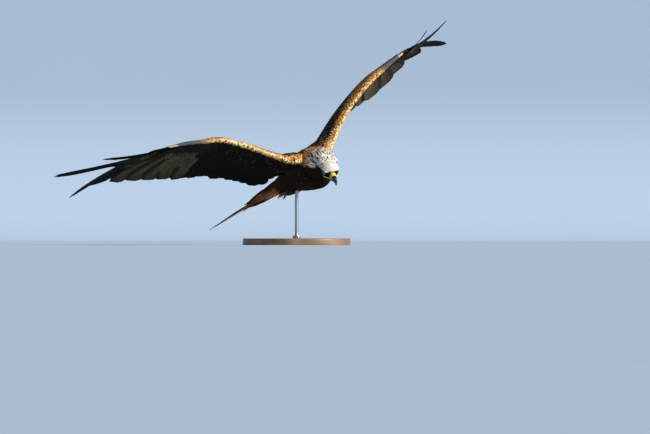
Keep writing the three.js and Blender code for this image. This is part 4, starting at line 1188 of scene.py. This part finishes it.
def skinPaint():
    paint = Paint("down")
    warmth, dark = paint.values("mark", 2)
    # The darkness mark includes painted shade on the face, throat and breast
    base = paint.mixed(dark, paleCoat(paint, warmth), coatColors["black"])
    fluff = paint.noise(700.0, 5.0)
    base = paint.mixed(fluff.above(0.3, 0.7) * 0.5, base, coatColors["brown"])
    return paint.finish({"Base Color": base, "Roughness": 0.85, "Specular IOR Level": 0.03,
                         "Normal": paint.bump(fluff, 0.4, 0.0006)})


covertColors = {
    "orange": (0.88, 0.33, 0.025), "cream": (0.92, 0.74, 0.40), "sheenGrey": (0.20, 0.19, 0.19),
    "pink": (0.60, 0.42, 0.27), "brown": (0.040, 0.019, 0.011), "black": (0.006, 0.005, 0.0045),
    "slate": (0.030, 0.026, 0.030), "edge": (0.22, 0.095, 0.032), "fleck": (0.15, 0.12, 0.065),
}


def covertPaint():
    paint = Paint("wing_coverts")
    along, across = paint.values("place", 2)
    share, under, number = paint.values("mark")
    chance, shift = paint.values("kind", 2)
    side, over = abs(across), 1 - under
    hand = number.above(0.72, 0.80) * over
    # Lit front edge: orange and cream, a grey painted sheen over the hand, pale at its end
    creamy = paint.noise(150.0, 2.0) + shift * 0.10 + under * 0.05 - share
    bright = paint.mixed(creamy.above(0.46, 0.56), covertColors["orange"], covertColors["cream"])
    # Painted sheen: grey along the front edge of the hand
    bright = paint.mixed((number + shift * 0.02).above(0.765, 0.80), bright, covertColors["sheenGrey"])
    bright = paint.mixed((number + shift * 0.01).above(0.945, 0.955), bright, covertColors["cream"])
    reach = (0.06 + 0.2 * number.above(0.38, 0.62)) * over + under * 0.03
    lit = 1 - ((share + shift * (0.03 - 0.015 * under)) / reach).above(0.6, 1.25)
    lit = lit * (1 - under * (1 - chance.above(0.08, 0.14)) * 0.8)
    # Dark ground with paler fringes; black on the under side is painted shade
    # Painted shade: the under side turns black; the front rows turn black as well
    blackFrontAndShadeBelow = under + (1 - (share / 0.4).above(0.8, 1.2)) * 0.7
    ground = paint.mixed(blackFrontAndShadeBelow, covertColors["brown"], covertColors["black"])
    ground = paint.mixed(hand * 0.8, ground, covertColors["slate"])
    mottled = (1 - ((share + shift * 0.08) / 0.42).above(0.6, 1.1)) * over * (1 - hand * 0.85)
    fringe = paint.mixed(mottled * chance.above(0.25, 0.5), covertColors["edge"], covertColors["pink"])
    fringe = paint.mixed(under, fringe, covertColors["fleck"])
    wrist = number.above(0.62, 0.68) * (1 - number.above(0.8, 0.86))
    rimmed = (0.25 + 0.75 * mottled) * over + under * (0.08 + 0.5 * wrist)
    edge = side.above(0.62, 0.98) + along.above(0.8, 0.97)
    ground = paint.mixed(edge * rimmed * chance.above(0.42, 0.58), ground, fringe)
    base = paint.mixed(lit, ground, bright)
    # Black spots, clumps and a few pale specks
    spot = (1 - side.above(0.25, 0.62)) * (1 - along.above(0.74, 0.9)) * along.above(0.2, 0.4)
    spot = spot * (1 - 0.6 * lit * under) * (0.3 + 0.7 * chance.above(0.2, 0.4))
    base = paint.mixed(spot, base, covertColors["black"])
    clumps = (paint.noise(190.0, 1.0) + shift * 0.06).above(0.55, 0.62)
    base = paint.mixed(clumps * lit * (1 - hand) * 0.85, base, covertColors["black"])
    speck = chance.above(0.93, 0.96) * along.above(0.5, 0.7) * (1 - side.above(0.3, 0.8)) * under * (1 - lit)
    return finishSmall(paint, paint.mixed(speck * 0.5, base, covertColors["fleck"]), along, side)


vaneColors = {
    "black": (0.006, 0.005, 0.005), "brown": (0.030, 0.018, 0.012), "olive": (0.026, 0.026, 0.013),
    "bar": (0.006, 0.005, 0.004), "pale": (0.165, 0.15, 0.08), "clay": (0.060, 0.030, 0.013),
    "rufous": (0.66, 0.26, 0.05), "buff": (0.42, 0.25, 0.14), "shaft": (0.06, 0.045, 0.03),
    "shadeUnder": (0.009, 0.0075, 0.0065), "soot": (0.012, 0.009, 0.008), "chestnut": (0.16, 0.075, 0.03),
    "shade": (0.008, 0.006, 0.005), "umber": (0.10, 0.045, 0.02), "tawny": (0.66, 0.27, 0.05),
    "sand": (0.55, 0.36, 0.17),
}


def secondaryColor(paint, vane):
    share, under = vane["share"], vane["under"]
    base = paint.mixed(vane["tone"] * 0.25 + 0.35, vaneColors["black"], vaneColors["brown"])
    # Painted shade: the under side is darker
    base = paint.mixed(under, base, vaneColors["shadeUnder"])
    base = paint.mixed(vane["bars"] * 0.5, base, vaneColors["black"])
    return paint.mixed(share.above(0.965, 0.99) * 0.3 * (1 - under), base, vaneColors["pale"])


# Dark above; the under side has a streaked and dotted pale window, its olive and pale ground kept dark as
# painted shade
def primaryColor(paint, vane):
    share, across, side, under, tone = (vane[key] for key in ("share", "across", "side", "under", "tone"))
    outer = vane["group"] - 1
    base = paint.mixed(under, vaneColors["soot"], vaneColors["black"])
    end = 1.02 - outer.above(0.42, 0.55) * 0.5
    window = share.above(0.16, 0.3) * (1 - (share / end).above(0.92, 0.99)) * (1 - outer.above(0.72, 0.82))
    lengthwise = paint.node("ShaderNodeCombineXYZ", {},
                            {0: share * 2.5 + tone * 9, 1: across * 7, 2: vane["group"] * 20})
    streaks = paint.noise(1.5, 4.0, lengthwise)
    paler = (paint.noise(230.0, 4.0) * 0.3 + streaks * 0.9).above(0.46, 0.72)
    # Painted shade: the window's olive and pale are far darker than the bird's own pale window
    olive = paint.mixed(paler, vaneColors["olive"], vaneColors["pale"])
    olive = paint.mixed(streaks.above(0.5, 0.58) * share.above(0.35, 0.6) * 0.85, olive, vaneColors["clay"])
    olive = paint.mixed(across.above(-0.05, 0.3) * 0.75, olive, vaneColors["bar"])
    dots = (vane["along"] * 70 + streaks * 9).sine() * (side * 26 + streaks * 7).sine()
    olive = paint.mixed(dots.above(0.2, 0.45) * (1 - share.above(0.45, 0.65)), olive, vaneColors["bar"])
    olive = paint.mixed(share.above(0.6, 0.98) * 0.5, olive, vaneColors["brown"])
    return paint.mixed(window * under, base, olive)


def covertColor(paint, vane):
    share, side, group = vane["share"], vane["side"], vane["group"]
    below = group.above(2.4, 2.6)
    upper = paint.mixed(group.above(1.4, 1.6) * 0.6, vaneColors["brown"], vaneColors["chestnut"])
    paleTip = group.above(4.5, 4.8) * share.above(0.6, 0.85) * paint.noise(160.0, 3.0).above(0.4, 0.6)
    lower = paint.mixed(paleTip * 0.8, vaneColors["shade"], vaneColors["pale"])
    base = paint.mixed(below, upper, lower)
    base = paint.mixed((1 - side.above(0.15, 0.6)) * 0.6, base, vaneColors["black"])
    tip = (side.above(0.72, 0.98) + share.above(0.9, 0.99)) * 0.35 * (1 - below)
    return paint.mixed(tip, base, vaneColors["pale"])


def rectrixColor(paint, vane):
    base = paint.mixed(vane["under"], vaneColors["rufous"], vaneColors["buff"])
    base = paint.mixed(vane["bars"] * 0.28, base, vaneColors["umber"])
    corner = vane["share"].above(0.66, 0.93) * (vane["group"] - 1).above(0.2, 0.5)
    base = paint.mixed(corner * 0.9, base, vaneColors["black"])
    inner = (0 - vane["across"]).above(0.1, 0.9) * (1 - vane["under"]) * 0.2
    return paint.mixed(inner, base, vaneColors["brown"])


def tailCovertColor(paint, vane):
    base = paint.mixed(vane["group"].above(2.4, 2.6), vaneColors["tawny"], vaneColors["sand"])
    return paint.mixed((1 - vane["side"].above(0.05, 0.3)) * 0.6, base, vaneColors["brown"])


vaneKinds = {"secondary": secondaryColor, "primary": primaryColor, "covert": covertColor,
             "rectrix": rectrixColor, "tailCovert": tailCovertColor}


def vanePaint(kindOfVane):
    paint = Paint("vane_" + kindOfVane)
    share, across, along = paint.values("place")
    under, tone, group = paint.values("kind")
    side = abs(across)
    cloud = paint.noise(60.0, 3.0)
    vane = {"share": share, "across": across, "along": along, "under": under, "tone": tone, "group": group,
            "side": side}
    if kindOfVane in ("secondary", "rectrix"):
        vane["bars"] = ((along * 100 + side * 7 + cloud * 9) * (fullTurn / 17)).sine().above(0.1, 0.75)
    base = vaneKinds[kindOfVane](paint, vane)
    ridge = 1 - side.above(0.07, 0.11)
    base = paint.mixed(ridge * (0.25 + 0.15 * under), base, vaneColors["shaft"])
    barbs = ((along * 100 - side * 22) * 3.4).sine()
    return paint.finish({"Base Color": base, "Roughness": 0.62 + 0.15 * cloud - 0.12 * ridge,
                         "Specular IOR Level": 0.04, "Normal": paint.bump(barbs, 0.10, 0.0003)})


hornColors = {"root": (0.11, 0.10, 0.085), "tip": (0.014, 0.014, 0.016)}


def hornPaint():
    paint = Paint("horn")
    along = paint.values("mark", 1)[0]
    cloud = paint.noise(400.0, 4.0)
    base = paint.mixed((along + cloud * 0.12).above(0.02, 0.3), hornColors["root"], hornColors["tip"])
    return paint.finish({"Base Color": base, "Roughness": 0.26 + 0.14 * cloud, "Coat Weight": 0.35,
                         "Normal": paint.bump(cloud, 0.1, 0.0004)})


bareColors = {
    "cere": {"pale": (0.90, 0.66, 0.012), "deep": (0.72, 0.46, 0.01), "hole": (0.01, 0.008, 0.006),
             "scale": 500.0},
    "lid": {"pale": (0.035, 0.032, 0.026), "deep": (0.018, 0.016, 0.013), "scale": 700.0},
    # Foot skin: the bird's yellow darkened to a dull olive, painted shade under the body
    "shadedFootSkin": {"pale": (0.17, 0.11, 0.02), "deep": (0.07, 0.045, 0.012), "scale": 300.0},
}


def barePaint(name):
    paint = Paint(name)
    form = bareColors[name]
    cloud = paint.noise(form["scale"], 4.0)
    pores = paint.node("ShaderNodeTexVoronoi", {"feature": "F1"},
                       {"Scale": form["scale"] * 2.2, "Vector": paint.place()}, "Distance")
    base = paint.mixed(cloud.above(0.35, 0.75) * 0.4, form["pale"], form["deep"])
    # Painted shade: the sunk nostril turns near-black, for the dark inside of the opening
    if "hole" in form:
        base = paint.mixed(paint.values("mark", 1)[0].above(0.3, 0.9), base, form["hole"])
    return paint.finish({"Base Color": base, "Roughness": 0.42 + 0.2 * cloud, "Subsurface Weight": 0.08,
                         "Subsurface Scale": 0.002, "Normal": paint.bump(pores, 0.3, 0.0003)})


# The iris is darker and more amber than the bird's own pale iris: painted shade, for an eye in the brow's
# shadow
eyeColors = {"iris": (0.50, 0.36, 0.11), "rays": (0.26, 0.16, 0.04), "pupil": (0.002, 0.002, 0.002),
             "rim": (0.015, 0.01, 0.006)}


def eyePaint():
    paint = Paint("eye")
    polar, turn = paint.values("mark", 2)
    rays = ((turn * fullTurn * 46).sine() * 0.5 + 0.5) * (0.5 + 0.5 * paint.noise(1200.0, 4.0))
    iris = paint.mixed(rays * 0.7, eyeColors["iris"], eyeColors["rays"])
    base = paint.mixed(polar.above(0.27, 0.31), eyeColors["pupil"], iris)
    base = paint.mixed(polar.above(0.56, 0.66), base, eyeColors["rim"])
    return paint.finish({"Base Color": base, "Roughness": 0.16, "Coat Weight": 1.0, "Coat Roughness": 0.03})


standColors = {"wood": (0.34, 0.20, 0.10), "grain": (0.15, 0.075, 0.033), "steel": (0.52, 0.52, 0.54, 1)}


def woodPaint():
    paint = Paint("wood")
    rings = paint.parts(paint.place(), 1)[0] * 9 + paint.noise(7.0) * 1.6
    grain = (rings * fullTurn).sine() * 0.5 + 0.5
    pores = paint.stretched((900, 40, 300), 4.0)
    base = paint.mixed(grain * 0.6 + pores * 0.3, standColors["wood"], standColors["grain"])
    return paint.finish({"Base Color": base, "Roughness": 0.38 + 0.2 * pores, "Coat Weight": 0.25,
                         "Coat Roughness": 0.2, "Normal": paint.bump(pores, 0.12, 0.0004)})


def steelPaint():
    paint = Paint("steel")
    brushed = paint.stretched((60, 60, 4000), 3.0)
    return paint.finish({"Base Color": standColors["steel"], "Metallic": 1.0,
                         "Roughness": 0.24 + 0.2 * brushed, "Normal": paint.bump(brushed, 0.06, 0.0002)})


floorColors = {"first": (0.37, 0.47, 0.57), "second": (0.40, 0.49, 0.59)}


def floorPaint():
    paint = Paint("paleFloor")
    cloud = paint.noise(1.6)
    base = paint.mixed(cloud, floorColors["first"], floorColors["second"])
    return paint.finish({"Base Color": base, "Roughness": 0.85 + 0.05 * cloud})


# Plain pale floor that curves up behind, soft light from the upper right
stageForm = {"front": -54.0, "back": 9.0, "bend": 0.5, "top": 0.95, "half": 9.0, "under": 0.0002}
lightForm = {"sun": (0.82, -0.36, 0.45), "sunPower": 5.4, "sunSize": 10, "sky": (0.80, 0.87, 1.0),
             "skyPower": 0.3}


def makeStage():
    form = stageForm
    path = [(form["front"], 0), (form["back"], 0)]
    path += [(form["back"] + form["bend"] * math.sin(turn), form["bend"] * (1 - math.cos(turn)))
             for turn in np.linspace(0.1, math.pi / 2, 14)]
    path.append((form["back"] + form["bend"], form["top"]))
    points = [(side * form["half"], along, high - form["under"]) for along, high in path for side in (-1, 1)]
    faces = [(2 * row, 2 * row + 1, 2 * row + 3, 2 * row + 2) for row in range(len(path) - 1)]
    mesh = bpy.data.meshes.new("floor")
    mesh.from_pydata(points, [], faces)
    mesh.materials.append(floorPaint())
    smoothen(mesh)
    addToScene(bpy.data.objects.new("floor", mesh))
    sun = addToScene(bpy.data.objects.new("sun", bpy.data.lights.new("sun", "SUN")))
    sun.data.energy = lightForm["sunPower"]
    sun.data.angle = math.radians(lightForm["sunSize"])
    sun.rotation_euler = Vector(lightForm["sun"]).to_track_quat("Z", "Y").to_euler()
    world = bpy.data.worlds.new("studio")
    world.use_nodes = True
    world.node_tree.nodes["Background"].inputs[0].default_value = (*lightForm["sky"], 1)
    world.node_tree.nodes["Background"].inputs[1].default_value = lightForm["skyPower"]
    bpy.context.scene.world = world
    bpy.context.scene.view_settings.view_transform = "Standard"


# Warmth and darkness of the coat by place: white crown, streaked neck, a face and throat darkened with
# painted shade, and a dark body whose breast is painted shade
def groundOf(points, regions):
    inHead = toHead(points)
    y, z = points[:, 1], points[:, 2]
    far = np.linalg.norm(inHead, axis=1)
    # Painted shade: the face below the brow line is darkened as if in shadow
    face = ease(8.5 - inHead[:, 2] + 1.2 * np.sin(0.9 * inHead[:, 1]), -1.5, 2.5)
    # Painted shade: the throat is darkened as if in shadow
    shadedThroat = ease(11.6 - z - 0.84 * y, -3, 5)
    mantle = ease(z - 0.1 * y, -14, 2) * ease(62 - y, 0, 22)
    onHead, onNeck = isHead(regions), regions == "neck"
    nape = np.maximum(face, ease(-inHead[:, 1], 20, 30) * shadedThroat)
    # Head: the painted shade of face and throat; neck: the throat's painted shade meets the mantle's own
    # dark; body: dark all over, the back by its own colour and the breast as painted shade
    dark = np.where(onHead, nape, np.where(onNeck, np.maximum(shadedThroat, mantle), 1.0))
    warmth = np.where(onHead, 0.15 * ease(far, 20, 40), 0.15 + 0.85 * ease(far, 55, 100))
    return dark, warmth


# For every feather: share of its rim, chance, tone; then its warmth, darkness and shaft streak
def coatMarks(points, regions, rng):
    y, z = points[:, 1], points[:, 2]
    count = len(points)
    chance, shift, pick = rng.uniform(0, 1, count), rng.uniform(-1, 1, count), rng.uniform(0, 1, count)
    dark, warmth = groundOf(points, regions)
    inHead = toHead(points)
    far = np.linalg.norm(inHead, axis=1)
    onHead, onNeck = isHead(regions), regions == "neck"
    # Clumps of dark spots on the crown and the nape
    ripple = 1.3 * np.sin(points @ [0.2, -0.5, 0.33])
    clumps = np.sin(points @ [0.55, 0.31, 0.2] + ripple) * np.cos(points @ [-0.3, 0.45, 0.4])
    crown = (inHead[:, 1] < -4) & (inHead[:, 1] > -70) & (inHead[:, 2] > 8)
    spots = crown * ((1.2 * clumps + 0.6 * shift) > 0.32)
    # Orange under the tail and on the rump
    vent = ease(-y, 128, 165) * ease(-z, 20, 40) + ease(-y, 200, 240)
    vent = np.clip(vent, 0, 1) * (regions != "thigh")
    onVent = vent > 0.3
    fine = 0.65 * (pick < 0.36)
    plain = np.where(onVent, 0.6 * (pick < 0.6), 0.35 * (pick < 0.5))
    onCrown, onNape = np.maximum(spots, fine), np.maximum(spots, pick < 0.4)
    streaked = np.where(onHead, onCrown, np.where(onNeck, onNape, plain))
    jump = np.where(onNeck, 0.8 * ease(shift, -0.2, 0.4) * ease(far, 46, 66), 0.3 * ease(shift, 0.0, 0.9))
    warm = np.clip(np.where(onNeck | onHead, 0.55 * warmth + jump, warmth), 0, 1)
    warm = np.where(onVent, 0.8 + 0.12 * shift, warm)
    dark = np.clip(dark + 0.35 * shift * (dark > 0.05) * (dark < 0.95), 0, 1)
    dark = np.where(onNeck & (dark > 0.8) & (chance > 0.72) & (z > -40), 0.15, dark)
    dark = np.where(spots & (chance < 0.62), 0.95, dark)
    dark = np.where(onHead | onNeck, dark, 1 - vent * (0.62 + 0.15 * shift))
    upper = ease(z, -34, -10)
    edged = np.where(onHead | onNeck, 0.12 * dark, np.where(chance < 0.6, 0.04 + 0.5 * upper, 0.02))
    return np.stack([edged, chance, shift], -1), np.stack([warm, dark, streaked], -1)


# The skin takes the same ground as the coat, painted shade on the face, throat and breast included
def markSkin(skin):
    points = birdPoints(skin.data)
    dark, warmth = groundOf(points, regionsOf(points))
    addMarks(skin.data, "mark", np.stack([warmth, dark, dark * 0], -1))


makeStage()
skin = makeSkin(skinPaint())
markSkin(skin)
print("skin", len(skin.data.polygons))
makeCoat(skin, {name: coatPaint(name) for name in ("head_plumage", "neck_plumage", "body_plumage")})
wingPaints = [vanePaint("secondary"), vanePaint("primary"), vanePaint("covert")]
smallCoverts = covertPaint()
for side, seed in ((1, 21), (-1, 22)):
    makeWing(side, seed, wingPaints)
    makeWingCoverts(side, seed + 10, smallCoverts)
makeTail([vanePaint("rectrix"), vanePaint("tailCovert")])
horn = hornPaint()
makeBill(horn, barePaint("cere"))
makeEyes(eyePaint(), barePaint("lid"))
makeFeet(barePaint("shadedFootSkin"), horn)
makeStand(woodPaint(), steelPaint())
print("bill, eyes, feet and stand")
bpy.context.view_layer.update()
